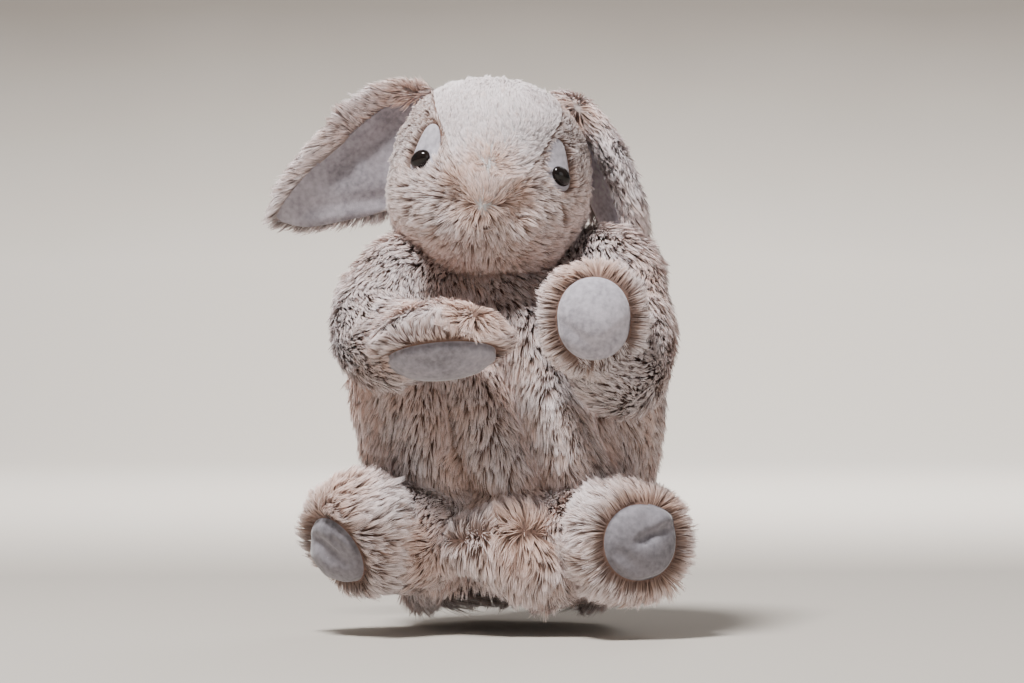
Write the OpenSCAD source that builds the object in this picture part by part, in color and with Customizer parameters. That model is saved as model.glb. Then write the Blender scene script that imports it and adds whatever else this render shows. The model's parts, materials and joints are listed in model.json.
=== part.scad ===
// Plush rabbit hand puppet. The wearer's hand goes in through the wrist opening at the
// bottom, one finger into the head and one into each sleeve. Soft pieces are closed solids
// of the size that their fabric and stuffing take up. The rabbit looks along -Y, +Z is up,
// and the origin is the middle of the wrist opening. Left and right are the rabbit's own.

/* [Cloth] */
// Thickness of the fur fabric with its packed pile
fur_t = 4; // [3:0.25:5.5]
// Thickness of the smooth short-pile fabric
velour_t = 1.2; // [0.8:0.1:1.8]
// Thickness of the lining
lining_t = 1.2; // [0.8:0.1:2]
// Gap left between two neighbouring pieces of cloth
seam_gap = 0.4; // [0.3:0.1:0.8]

/* [Glove] */
// Greatest width of the glove body
glove_w = 138; // [110:1:170]
// Depth of the glove body over the hand
glove_d = 70; // [60:1:90]
// Height of the glove body from the wrist to the neck
glove_h = 156; // [130:1:190]
// Diameter of the wrist opening
wrist_d = 76; // [66:1:86]
// Height of the turned hem
hem_h = 18; // [12:1:26]
// Radial thickness of the turned hem
hem_t = 9; // [7:0.5:12]
// Diameter of the tail
tail_d = 34; // [24:1:44]

/* [Neck] */
// Bore through the gathered neck
neck_bore_d = 30; // [26:1:32]
// Height of the gathered neck
neck_h = 9; // [6:0.5:12]
// How far the neck is set towards the rabbit's right
neck_shift = 12; // [6:1:16]

/* [Head] */
// Width of the head over the cheeks
head_w = 90; // [76:1:106]
// Depth of the head without the muzzle
head_d = 86; // [72:1:100]
// Height of the head
head_h = 86; // [78:1:100]
// How far the muzzle stands out
muzzle_l = 8; // [5:0.5:11]
// Width of the middle panel, as an angle round the head
gusset_angle = 54; // [40:1:66]
// How far the face looks up
face_up = 6; // [0:1:12]
// How far the head leans to the rabbit's left
head_lean = 7; // [0:1:12]
// Bore of the finger pocket
finger_d = 19; // [16:0.5:22]
// Depth of the finger pocket in the head
finger_l = 48; // [38:1:56]

/* [Eyes] */
// Diameter of an eye
eye_d = 9.6; // [7:0.2:13]
// Height of an eye's dome
eye_h = 3.4; // [2:0.2:5]
// Distance between the two eyes
eye_span = 61; // [50:1:66]
// Diameter of an eye's shank
shank_d = 3.2; // [2.4:0.2:4]
// Diameter of the washer that locks a shank
washer_d = 13; // [10:0.5:16]

/* [Ears] */
// Width of an ear
ear_w = 46; // [34:1:54]
// Length of an ear along its middle
ear_l = 84; // [66:1:100]
// Thickness of an ear's fur side
ear_t = 6; // [4.5:0.5:8]

/* [Arms] */
// Diameter of a sleeve
sleeve_d = 38; // [30:1:42]
// Bore of a sleeve
sleeve_bore_d = 20; // [17:1:22]
// Length of a stuffed paw
paw_l = 54; // [44:1:60]
// Width of a stuffed paw
paw_w = 38; // [32:1:42]
// Length of the smooth palm pad
pad_l = 38; // [30:1:42]
// Width of the smooth palm pad
pad_w = 27; // [22:1:30]

/* [Feet] */
// Width of a stuffed foot
foot_w = 52; // [42:1:60]
// Depth of a stuffed foot from the seam to the sole
foot_d = 50; // [40:1:58]
// Height of a stuffed foot
foot_h = 54; // [44:1:62]
// Diameter of the smooth sole
sole_d = 36; // [28:1:40]

/* [Hidden] */

around = 20;        // sides of a stuffed shape
half_around = 12;   // facets round half of the glove
joint_gap = 2;      // free space between pieces that move on each other
fur_colour = "#c9b8b0";
face_colour = "#dccdc6";
velour_colour = "#b9b4bd";
lining_colour = "#d8cfc6";
filling_colour = "#f0ece4";
thread_colour = "#e8dcd6";

hem_r = wrist_d / 2 + hem_t;
neck_pivot = [-neck_shift, 0, glove_h + neck_h / 2];
head_forward = 6;    // how far the head's middle is in front of the neck
head_sink = 3;       // how far the neck reaches up into the head
head_c = neck_pivot + [0, -head_forward, head_h / 2 - head_sink];
neck_ring_r = neck_bore_d / 2 + fur_t;
pocket_r = finger_d / 2 + lining_t;

// The glove's outer surface, from the hem to the neck: share of the height, and how much
// of its greatest width and depth it has there. The first row is the round hem itself.
glove_rows = [
    [0.06, 0.74, 1.16], [0.22, 0.88, 1.12], [0.42, 1.00, 1.04], [0.58, 0.97, 0.97],
    [0.74, 0.83, 0.86], [0.88, 0.61, 0.74], [0.96, 0.45, 0.68],
];
glove_z0 = hem_h + seam_gap;
neck_row = [neck_ring_r + fur_t, neck_ring_r + fur_t];

function glove_stations() = concat(
    [[glove_z0, 0, hem_r, hem_r]],
    [for (r = glove_rows) [glove_z0 + r[0] * (glove_h - glove_z0), -neck_shift * r[0] / 2,
        r[1] * glove_w / 2, r[2] * glove_d / 2]],
    [[glove_h, -neck_shift, neck_row[0], neck_row[1]]]);

// Half sizes of the glove at height z, from the stations on both sides of it.
function glove_at(z, s = glove_stations()) =
    let (i = max([for (k = [0 : len(s) - 2]) s[k][0] <= z ? k : 0]),
         f = (z - s[i][0]) / (s[i + 1][0] - s[i][0]))
    s[i] + f * (s[i + 1] - s[i]);

// ---- general solids ----

function unit(v) = v / norm(v);

// Open arc or closed ring of an ellipse round c in the plane of u and v.
function arc_row(c, u, v, ru, rv, a0, a1, n) =
    [for (k = [0 : n]) let (a = a0 + (a1 - a0) * k / n) c + u * ru * cos(a) + v * rv * sin(a)];
function ring_row(c, u, v, ru, rv, n) =
    [for (k = [0 : n - 1]) let (a = 360 * k / n) c + u * ru * cos(a) + v * rv * sin(a)];

// Triangles between neighbouring rows of m points, with w the row width to wrap round.
function wall_faces(rows, m, wrap, base = 0, flip = false) =
    [for (i = [0 : rows - 2], k = [0 : m - (wrap ? 1 : 2)], t = [0, 1])
        let (a = base + i * m + k, b = base + i * m + (k + 1) % m, c = a + m, d = b + m,
             f = t == 0 ? [a, c, b] : [b, c, d])
        flip ? [f[2], f[1], f[0]] : f];

// Closed solid through a list of closed rings, with a fan at each end.
module through(rings) {
    m = len(rings[0]);
    rows = len(rings);
    points = concat([for (r = rings) each r], [mean(rings[0]), mean(rings[rows - 1])]);
    ends = concat(
        [for (k = [0 : m - 1]) [k, (k + 1) % m, rows * m]],
        [for (k = [0 : m - 1]) [(rows - 1) * m + (k + 1) % m, (rows - 1) * m + k, rows * m + 1]]);
    polyhedron(points, concat(wall_faces(rows, m, true), ends));
}
function mean(pts) = [for (k = [0 : 2]) let (s = [for (p = pts) p[k]]) total(s) / len(pts)];
function total(v, i = 0) = i == len(v) ? 0 : v[i] + total(v, i + 1);

// Cloth between an outer and an inner surface, both lists of open rows.
module cloth(outer, inner) {
    m = len(outer[0]);
    rows = len(outer);
    n = m * rows;
    last = (rows - 1) * m;
    sides = [for (i = [0 : rows - 2], e = [0, m - 1], t = [0, 1])
        let (a = i * m + e, b = a + m, f = t == 0 ? [a, n + a, b] : [b, n + a, n + b])
        e == 0 ? f : [f[2], f[1], f[0]]];
    ends = [for (k = [0 : m - 2], e = [0, last], t = [0, 1])
        let (a = e + k, b = a + 1, f = t == 0 ? [a, b, n + a] : [b, n + b, n + a])
        e == 0 ? f : [f[2], f[1], f[0]]];
    polyhedron(concat([for (r = outer) each r], [for (r = inner) each r]),
        concat(wall_faces(rows, m, false), wall_faces(rows, m, false, n, true), sides, ends));
}

// ---- glove ----

function glove_surface(inset, a0, a1) = [for (s = glove_stations())
    arc_row([s[1], 0, s[0]], [1, 0, 0], [0, 1, 0], s[2] - inset, s[3] - inset, a0, a1, half_around)];

seam_angle = 0.4;   // half of the slit between the front and back, as seen from the axis

module glove_half(front, inset, t) {
    turn = front ? 180 : 0;
    cloth(glove_surface(inset, turn + seam_angle, turn + 180 - seam_angle),
          glove_surface(inset + t, turn + seam_angle, turn + 180 - seam_angle));
}

// Arm holes: both sleeves start on a ball that stands off the glove's surface.
ball_inset = 3;      // the shoulder is this much slimmer than the sleeve
ball_r = sleeve_d / 2 - ball_inset;
shoulder_z = 0.94 * glove_h;
function shoulder_out(side) = unit([side * 0.90, -0.44, 0]);
shoulder_stand_off = 6;   // keeps the sleeves clear of the belly, which is wider than the shoulders
function shoulder(side) =
    let (g = glove_at(shoulder_z), out = shoulder_out(side),
         reach = 1 / norm([out[0] / g[2], out[1] / g[3]]))
    [g[1], 0, shoulder_z] + out * (reach + ball_r + joint_gap + shoulder_stand_off);

arm_hole_l = ball_r + shoulder_stand_off + 4 * (fur_t + lining_t + joint_gap);
module arm_holes() for (side = [-1, 1]) translate(shoulder(side))
    rotate([90, 0, 90 + atan2(-shoulder_out(side)[1], -shoulder_out(side)[0])])
    cylinder(h = arm_hole_l, d = sleeve_bore_d, $fn = 12);

module glove_cloth(front, inset, t) difference() {
    glove_half(front, inset, t);
    arm_holes();
}

module body_front_panel() color(fur_colour) glove_cloth(true, 0, fur_t);
module body_back_panel() color(fur_colour) glove_cloth(false, 0, fur_t);
module lining_front() color(lining_colour) glove_cloth(true, fur_t + seam_gap, lining_t);
module lining_back() color(lining_colour) glove_cloth(false, fur_t + seam_gap, lining_t);

module hem_band() color(fur_colour) rotate_extrude($fn = 64) translate([wrist_d / 2, 0])
    hull() {
        square([hem_t / 2, hem_h]);
        translate([hem_t / 2, hem_t / 2]) circle(d = hem_t);
        translate([hem_t / 2, hem_h - hem_t / 2]) circle(d = hem_t);
    }

tail_z = 0.27 * glove_h;
module tail() color(face_colour)
    translate([glove_at(tail_z)[1], glove_at(tail_z)[3] + tail_d / 2, tail_z])
    sphere(d = tail_d, $fn = 32);

module neck_gather() color(fur_colour)
    translate([neck_pivot[0], neck_pivot[1], glove_h + seam_gap]) rotate_extrude($fn = 48)
    translate([neck_bore_d / 2, 0]) square([fur_t, neck_h]);

// ---- head ----

// The head's outer surface from the muzzle to the back: place along the depth, half width,
// half height and the height of the middle, each as a share of the head's own half size.
head_rows = [
    [-1.00, 0.10, 0.08, -0.36], [-0.97, 0.34, 0.26, -0.36], [-0.86, 0.60, 0.52, -0.25],
    [-0.64, 0.83, 0.76, -0.12], [-0.38, 0.96, 0.93, -0.04], [-0.06, 1.00, 1.00, 0],
    [0.28, 0.95, 0.96, 0], [0.58, 0.79, 0.81, 0.02], [0.82, 0.54, 0.56, 0.03],
    [0.95, 0.29, 0.30, 0.04], [1.00, 0.10, 0.10, 0.04],
];
function head_y(share) = share * head_d / 2 - (share < 0 ? muzzle_l * share * share : 0);
function head_surface(inset, a0, a1) = [for (r = head_rows)
    let (shrink = 1 - inset / (head_d / 2))
    arc_row([0, head_y(r[0]) * shrink, r[3] * head_h / 2], [1, 0, 0], [0, 0, 1],
        max(r[1] * head_w / 2 - inset, 0.6), max(r[2] * head_h / 2 - inset, 0.6),
        a0, a1, half_around + 2)];
function head_rings(inset) = [for (r = head_surface(inset, 0, 360))
    [for (k = [len(r) - 2 : -1 : 0]) r[k]]];

module in_head() translate(head_c) rotate([-face_up, head_lean, 0]) children();

// Where an eye sits on the head's surface, in the head's own frame.
eye_rise = 0.01;     // height over the head's middle, as a share of half the head's height
brow = 1.5;          // how much deeper the face is than an ellipsoid where the eyes are
function eye_spot(side) =
    let (x = side * eye_span / 2, z = eye_rise * head_h / 2,
         y = -(head_d / 2 + brow) * sqrt(1 - pow(x / (head_w / 2), 2) - pow(z / (head_h / 2), 2)))
    [x, y, z];
function eye_out(side) = unit([eye_spot(side)[0] / pow(head_w / 2, 2),
    eye_spot(side)[1] / pow(head_d / 2, 2), eye_spot(side)[2] / pow(head_h / 2, 2)]);

// Places children with +Z along the eye's outward direction.
module at_eye(side) {
    out = eye_out(side);
    translate(eye_spot(side)) rotate([0, acos(out[2]), atan2(out[1], out[0])]) children();
}

shank_l = 14;
washer_t = 2;
washer_in = 9;       // depth of the washer under the cloth's outer surface
washer_room = 1;     // free space round a washer in the filling
shank_fit = 0.1;     // how much wider a washer's hole is than the shank
module eye_holes(r) for (side = [-1, 1]) at_eye(side)
    translate([0, 0, -shank_l - 1]) cylinder(h = shank_l + 8, r = r, $fn = 12);

neck_room = 1;       // how much further the head's opening stands off the neck
module neck_hole(extra = 0) {
    r = neck_ring_r + joint_gap + neck_room + extra;
    translate([neck_pivot[0], neck_pivot[1], neck_pivot[2] - head_h / 2])
        cylinder(h = head_h / 2 + neck_h + joint_gap + extra, r = r, $fn = 12);
}

module head_cloth(a0, a1) difference() {
    in_head() difference() {
        cloth(head_surface(0, a0, a1), head_surface(fur_t, a0, a1));
        eye_holes(shank_d / 2 + seam_gap);
    }
    neck_hole();
}

half_gusset = gusset_angle / 2;
slit = 0.5;      // half of the slit between two head panels, as an angle
module forehead_gusset() color(face_colour) head_cloth(90 + half_gusset - slit, 90 - half_gusset + slit);
module left_cheek_panel() color(fur_colour) head_cloth(90 - half_gusset - slit, -90 + slit);
module right_cheek_panel() color(fur_colour) head_cloth(270 - slit, 90 + half_gusset + slit);

pocket_z0 = glove_h + neck_h + joint_gap;
module pocket_space(extra) translate([neck_pivot[0], neck_pivot[1], pocket_z0 - neck_h])
    cylinder(h = finger_l + lining_t + extra + neck_h, r = pocket_r + extra, $fn = 24);

module head_filling() color(filling_colour) difference() {
    in_head() difference() {
        through(head_rings(fur_t + seam_gap));
        for (side = [-1, 1]) at_eye(side) {
            translate([0, 0, -shank_l - washer_t])
                cylinder(h = 2 * shank_l, r = shank_d / 2 + seam_gap, $fn = 12);
            translate([0, 0, -washer_in - washer_t])
                cylinder(h = 2 * washer_in, r = washer_d / 2 + washer_room, $fn = 12);
        }
    }
    neck_hole(joint_gap);
    pocket_space(seam_gap);
}

module head_finger_pocket() color(lining_colour)
    translate([neck_pivot[0], neck_pivot[1], pocket_z0]) difference() {
        cylinder(h = finger_l + lining_t, r = pocket_r, $fn = 48);
        translate([0, 0, -1]) cylinder(h = finger_l + 1, d = finger_d, $fn = 48);
    }

// A smooth patch lies on the head's surface and reaches up from the eye as a drop.
patch_w = 13;
patch_up = 20;
patch_top_w = 0.7 * patch_w;
patch_from = -8;     // the stretch of the head that the left patch is cut from, as angles
patch_to = 62;
module eye_patch(side) color(velour_colour) in_head() difference() {
    first = side > 0 ? patch_to : 180 - patch_from;
    last = side > 0 ? patch_from : 180 - patch_to;
    intersection() {
        cloth(head_surface(-seam_gap - velour_t, first, last), head_surface(-seam_gap, first, last));
        at_eye(side) translate([0, 0, -shank_l])
            linear_extrude(2 * shank_l) hull() {
                circle(d = patch_w, $fn = 12);
                translate([-patch_up, 0]) circle(d = patch_top_w, $fn = 12);
            }
    }
    eye_holes(eye_d / 2 + seam_gap);
}
module left_eye_patch() eye_patch(1);
module right_eye_patch() eye_patch(-1);

eye_off = velour_t + 7 * seam_gap;   // the dome's rim stands on the patch, which is curved
module eye(side) color("#15120f") in_head() at_eye(side) {
    translate([0, 0, eye_off]) rotate_extrude($fn = 40) intersection() {
        scale([1, 2 * eye_h / eye_d]) circle(d = eye_d, $fn = 40);
        square([eye_d, eye_h]);
    }
    translate([0, 0, eye_off - shank_l]) cylinder(h = shank_l, d = shank_d, $fn = 24);
}
module left_eye() eye(1);
module right_eye() eye(-1);

module eye_washer(side) color("#26221f") in_head() at_eye(side)
    translate([0, 0, -washer_in]) difference() {
        cylinder(h = washer_t, d = washer_d, $fn = 32);
        translate([0, 0, -1]) cylinder(h = washer_t + 2, d = shank_d + shank_fit, $fn = 32);
    }
module left_eye_washer() eye_washer(1);
module right_eye_washer() eye_washer(-1);

stitch_r = 5;
stitch_d = 1.2;
stitch_angle = 110;
mouth_drop = 0.40;   // how far under the head's middle the mouth is, as a share of half its height
module mouth_stitch() color(thread_colour) in_head()
    translate([0, head_y(-1) - stitch_d, -mouth_drop * head_h / 2 + stitch_r]) rotate([90, 0, 0])
    rotate([0, 0, 270 - stitch_angle / 2]) rotate_extrude(angle = stitch_angle, $fn = 32)
    translate([stitch_r, 0]) circle(d = stitch_d, $fn = 16);

// ---- ears ----

// An ear follows a curve through three points: root, bend and tip.
ear_rows = [[0, 0.50], [0.16, 0.78], [0.36, 1.00], [0.56, 0.96], [0.76, 0.74], [0.91, 0.42], [1, 0.10]];
lens = [[-1, -0.2], [-0.75, -0.5], [0.75, -0.5], [1, -0.2], [1, 0.2], [0.75, 0.5], [-0.75, 0.5], [-1, 0.2]];
function on_curve(p, t) = p[0] * (1 - t) * (1 - t) + p[1] * 2 * t * (1 - t) + p[2] * t * t;
function curve_way(p, t) = unit((p[1] - p[0]) * (1 - t) + (p[2] - p[1]) * t);

// across is roughly the way of the ear's width; the side that faces along out is the lining.
module ear_sheet(p, across, w, t, off, from = 0, to = 1) {
    through([for (r = ear_rows)
        let (s = from + (to - from) * r[0], way = curve_way(p, s),
             side = unit(across - way * (across * way)), out = cross(way, side))
        [for (q = lens) on_curve(p, s) + side * q[0] * r[1] * w / 2 + out * (q[1] * t + off)]]);
}

head_side = head_w / 2;
ear_off = joint_gap + ear_t / 2;   // the ears' roots stand off the head by this
// The right ear sticks out to the side and droops; the left one hangs down beside the head.
right_root = head_c + [-0.74 * head_side, 0.61 * head_d / 2 + ear_off, 0.5 * head_h / 2];
left_root = head_c
    + [0.75 * head_side + joint_gap, 0.26 * head_d / 2 + ear_off, 0.72 * head_h / 2 + ear_t / 2];
function ear_curve(root, bend, tip) = [root, root + ear_l * bend, root + ear_l * tip];
right_ear_curve = ear_curve(right_root, [-0.38, 0, -0.12], [-0.80, -0.04, -0.42]);
left_ear_curve = ear_curve(left_root, [0.34, -0.04, -0.10], [0.36, -0.06, -0.87]);
right_across = [0, 0, 1];
left_across = [0.66, -0.75, 0];
lining_off = ear_t / 2 + seam_gap + velour_t / 2;

lining_w = 0.76 * ear_w;
lining_span = [0.08, 0.93];   // the stretch of the ear that is lined

module right_ear_fur() color(fur_colour) ear_sheet(right_ear_curve, right_across, ear_w, ear_t, 0);
module right_ear_lining() color(velour_colour) ear_sheet(right_ear_curve, right_across, lining_w,
    velour_t, -lining_off, lining_span[0], lining_span[1]);
module left_ear_fur() color(fur_colour) ear_sheet(left_ear_curve, left_across, ear_w, ear_t, 0);
module left_ear_lining() color(velour_colour) ear_sheet(left_ear_curve, left_across, lining_w,
    velour_t, -lining_off, lining_span[0], lining_span[1]);

// ---- arms ----

// The sleeves hang by shares of the glove's height, so that they follow its side.
left_upper_arm = glove_h * [0.070, -0.110, -0.198];
right_upper_arm = glove_h * [-0.026, -0.128, -0.141];
function elbow(side) = shoulder(side) + (side > 0 ? left_upper_arm : right_upper_arm);

// A sleeve is a tube that starts on its shoulder ball and stops short of the elbow.
sleeve_rows = [[-0.72, 0.70], [-0.35, 0.94], [0, 1.0], [0.9, 1.16], [1.55, 1.0]];
sleeve_wall = 1;     // least wall of a sleeve at its ends
function sleeve_rings(side) =
    let (way = unit(elbow(side) - shoulder(side)), u = unit(cross(way, [0, 0, 1])), v = cross(way, u))
    [for (r = sleeve_rows) let (ring_r = max(r[1] * ball_r, sleeve_bore_d / 2 + sleeve_wall))
        ring_row(shoulder(side) + way * r[0] * ball_r, u, v, ring_r, ring_r, around)];

bore_turn = 7;       // the bore's own seam lies between two edges of the sleeve's ends

module sleeve(side) color(fur_colour) {
    way = unit(elbow(side) - shoulder(side));
    difference() {
        through(sleeve_rings(side));
        translate(shoulder(side)) rotate([0, acos(way[2]), atan2(way[1], way[0])])
            rotate([0, 0, bore_turn]) translate([0, 0, -2 * ball_r])
            cylinder(h = 4 * ball_r, d = sleeve_bore_d, $fn = 16);
    }
}
module left_sleeve() sleeve(1);
module right_sleeve() sleeve(-1);

// Stuffed shape: an ellipsoid with its long axis along local Z, closed at both poles.
function stuffed_rings(a, b, c, inset) = [for (t = [8 : 16.4 : 172])
    ring_row([0, 0, -(c - inset) * cos(t)], [1, 0, 0], [0, 1, 0],
        (a - inset) * sin(t), (b - inset) * sin(t), around)];
module stuffed(size, inset) through(stuffed_rings(size[0] / 2, size[1] / 2, size[2] / 2, inset));

// The shell of a stuffed shape with an opening for its smooth panel along local -Y.
module stuffed_cloth(size, open) difference() {
    stuffed(size, 0);
    stuffed(size, fur_t);
    smooth_cut(size, open + [seam_gap, seam_gap]);
}
module smooth_panel(size, open) intersection() {
    difference() {
        stuffed(size, 0);
        stuffed(size, fur_t);
    }
    smooth_cut(size, open - [seam_gap, seam_gap]);
}
module smooth_cut(size, open) rotate([90, 0, 0]) linear_extrude(size[1])
    scale([open[0] / open[1], 1]) circle(d = open[1], $fn = 12);

foot_size = [foot_w, foot_d, foot_h];
right_paw_depth = 32;
left_paw_depth = 30;
right_paw_size = [paw_w, right_paw_depth, paw_l];
left_paw_size = [0.90 * paw_l, left_paw_depth, 0.96 * paw_l];
right_paw_from_elbow = [0.50 * paw_l, -20, -1];
left_paw_from_elbow = [-0.38 * paw_l, -27, 0.35 * paw_l];
palm_down = 67;      // how far the right palm is turned down from facing forwards
paw_slant = 5;

// The right paw lies across the belly with its palm down; the left one is held up with its
// palm to the front.
module in_right_paw() translate(elbow(-1) + right_paw_from_elbow)
    rotate([palm_down, 0, 0]) rotate([0, 90, paw_slant]) children();
module in_left_paw() translate(elbow(1) + left_paw_from_elbow) children();

module right_paw() color(fur_colour) in_right_paw() stuffed_cloth(right_paw_size, [pad_w, pad_l]);
module right_palm_pad() color(velour_colour) in_right_paw() smooth_panel(right_paw_size, [pad_w, pad_l]);
module right_paw_filling() color(filling_colour) in_right_paw() stuffed(right_paw_size, fur_t + seam_gap);
module left_paw() color(fur_colour) in_left_paw() stuffed_cloth(left_paw_size, [pad_l, pad_l]);
module left_palm_pad() color(velour_colour) in_left_paw() smooth_panel(left_paw_size, [pad_l, pad_l]);
module left_paw_filling() color(filling_colour) in_left_paw() stuffed(left_paw_size, fur_t + seam_gap);

// ---- feet ----

foot_lift = 8;       // height of the feet over the wrist opening
foot_z = foot_h / 2 + foot_lift;
left_foot_turn = [0, 0, 22];     // the soles face outwards, and the right one down as well
right_foot_turn = [28, 0, -50];
function foot_out(side) = unit(side > 0 ? [0.66, -0.75, 0] : [-0.84, -0.54, 0]);
function foot_c(side) =
    let (g = glove_at(foot_z), out = foot_out(side),
         reach = 1 / norm([out[0] / g[2], out[1] / g[3]]))
    [g[1], 0, foot_z] + out * (reach + foot_d / 2 + 2 * joint_gap);
module in_left_foot() translate(foot_c(1)) rotate(left_foot_turn) children();
module in_right_foot() translate(foot_c(-1)) rotate(right_foot_turn) children();

module left_foot() color(fur_colour) in_left_foot() stuffed_cloth(foot_size, [sole_d, sole_d]);
module left_sole() color(velour_colour) in_left_foot() smooth_panel(foot_size, [sole_d, sole_d]);
module left_foot_filling() color(filling_colour) in_left_foot() stuffed(foot_size, fur_t + seam_gap);
module right_foot() color(fur_colour) in_right_foot() stuffed_cloth(foot_size, [sole_d, sole_d]);
module right_sole() color(velour_colour) in_right_foot() smooth_panel(foot_size, [sole_d, sole_d]);
module right_foot_filling() color(filling_colour) in_right_foot() stuffed(foot_size, fur_t + seam_gap);

body_front_panel();
body_back_panel();
hem_band();
lining_front();
lining_back();
tail();
neck_gather();
forehead_gusset();
left_cheek_panel();
right_cheek_panel();
head_filling();
head_finger_pocket();
left_eye_patch();
right_eye_patch();
left_eye();
right_eye();
left_eye_washer();
right_eye_washer();
mouth_stitch();
left_ear_fur();
left_ear_lining();
right_ear_fur();
right_ear_lining();
left_sleeve();
right_sleeve();
left_paw();
left_palm_pad();
left_paw_filling();
right_paw();
right_palm_pad();
right_paw_filling();
left_foot();
left_sole();
left_foot_filling();
right_foot();
right_sole();
right_foot_filling();
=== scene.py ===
"""Plush rabbit hand puppet, worn from below: skins of cloth with a tipped fur pile on them,
smooth velour on the ears, palms and soles, glossy eyes, and a lined glove body.

Each skin is a surface of two parameters on a grid. The pile is a piece of its own: thousands
of tapered blades that grow from a skin, lie along its nap and close up into tufts.
"""

import json

import bpy
import numpy as np
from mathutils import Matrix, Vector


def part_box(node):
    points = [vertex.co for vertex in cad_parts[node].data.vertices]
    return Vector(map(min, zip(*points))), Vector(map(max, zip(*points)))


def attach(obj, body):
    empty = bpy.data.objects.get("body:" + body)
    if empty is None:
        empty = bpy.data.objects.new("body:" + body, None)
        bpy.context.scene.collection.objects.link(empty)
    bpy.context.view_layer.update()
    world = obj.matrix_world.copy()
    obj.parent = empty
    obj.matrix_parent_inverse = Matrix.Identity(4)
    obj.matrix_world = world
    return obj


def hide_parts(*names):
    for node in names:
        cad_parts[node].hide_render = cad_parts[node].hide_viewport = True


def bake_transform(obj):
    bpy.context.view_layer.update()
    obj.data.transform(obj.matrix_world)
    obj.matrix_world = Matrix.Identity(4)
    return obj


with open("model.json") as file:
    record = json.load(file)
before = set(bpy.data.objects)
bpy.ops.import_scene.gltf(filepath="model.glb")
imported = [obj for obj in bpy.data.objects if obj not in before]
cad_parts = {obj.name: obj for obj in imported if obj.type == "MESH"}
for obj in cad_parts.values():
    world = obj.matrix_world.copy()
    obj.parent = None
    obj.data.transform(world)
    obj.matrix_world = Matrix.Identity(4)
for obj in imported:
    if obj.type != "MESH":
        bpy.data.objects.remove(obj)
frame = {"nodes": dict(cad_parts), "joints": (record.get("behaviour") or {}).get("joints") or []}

bl_info = {
    "name": "Plush hand puppet",
    "version": (1, 0, 0),
    "blender": (4, 5, 0),
    "location": "View3D > Sidebar > Puppet",
    "description": "Makes the cloth, pile, eyes and lining of a plush rabbit hand puppet",
    "category": "Object",
}

MM = 0.001
TAU = 2 * np.pi
DOWN = np.array([0.0, 0.0, -1.0])


# ---- where the pieces are ----


def corners(*nodes):
    """Lowest and highest corner of the box round these CAD nodes."""
    boxes = np.array([[tuple(c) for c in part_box(n)] for n in nodes])
    return boxes[:, 0].min(0), boxes[:, 1].max(0)


def middle(*nodes):
    return sum(corners(*nodes)) / 2


def half_size(*nodes):
    low, high = corners(*nodes)
    return (high - low) / 2


def pivot(joint):
    """Where a joint turns."""
    found = next(j for j in frame["joints"] if j["name"] == joint)
    return np.array(found["pos_m"])


# ---- arrays ----


def unit(v):
    return v / np.maximum(np.linalg.norm(v, axis=-1, keepdims=True), 1e-12)


def dot(a, b):
    return (a * b).sum(-1, keepdims=True)


def turned(angles):
    """The matrix that turns by three angles in degrees about X, then Y, then Z."""
    x, y, z = np.radians(angles)
    about_x = np.array([[1, 0, 0], [0, np.cos(x), -np.sin(x)], [0, np.sin(x), np.cos(x)]])
    about_y = np.array([[np.cos(y), 0, np.sin(y)], [0, 1, 0], [-np.sin(y), 0, np.cos(y)]])
    about_z = np.array([[np.cos(z), -np.sin(z), 0], [np.sin(z), np.cos(z), 0], [0, 0, 1]])
    return about_z @ about_y @ about_x


def ripple(p, span, seed):
    """Smooth noise from about -1 to 1 that changes over span: sines along random ways, added."""
    rng = np.random.default_rng(seed)
    ways = rng.normal(size=(7, 3)) / span
    start = rng.uniform(0, TAU, 7)
    return np.sin(p @ ways.T + start).sum(-1) / 3


def hump(distance, width):
    """A bell: 1 at no distance, falling to nothing over about twice the width."""
    return np.exp(-0.5 * (distance / width) ** 2)


def through(x, at, values):
    """A smooth line through values given at a few places, by cubics that share their slopes."""
    at, values = np.asarray(at, float), np.asarray(values, float)
    slope = np.gradient(values, at, axis=0)
    i = np.clip(np.searchsorted(at, x, side="right") - 1, 0, len(at) - 2)
    step = at[i + 1] - at[i]
    t = (x - at[i]) / step
    if values.ndim > 1:
        t, step = t[..., None], step[..., None]
    a, b = values[i], values[i + 1]
    up, down = slope[i] * step, slope[i + 1] * step
    return (
        a * (2 * t**3 - 3 * t**2 + 1) + up * (t**3 - 2 * t**2 + t)
        + b * (3 * t**2 - 2 * t**3) + down * (t**3 - t**2)
    )


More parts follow.
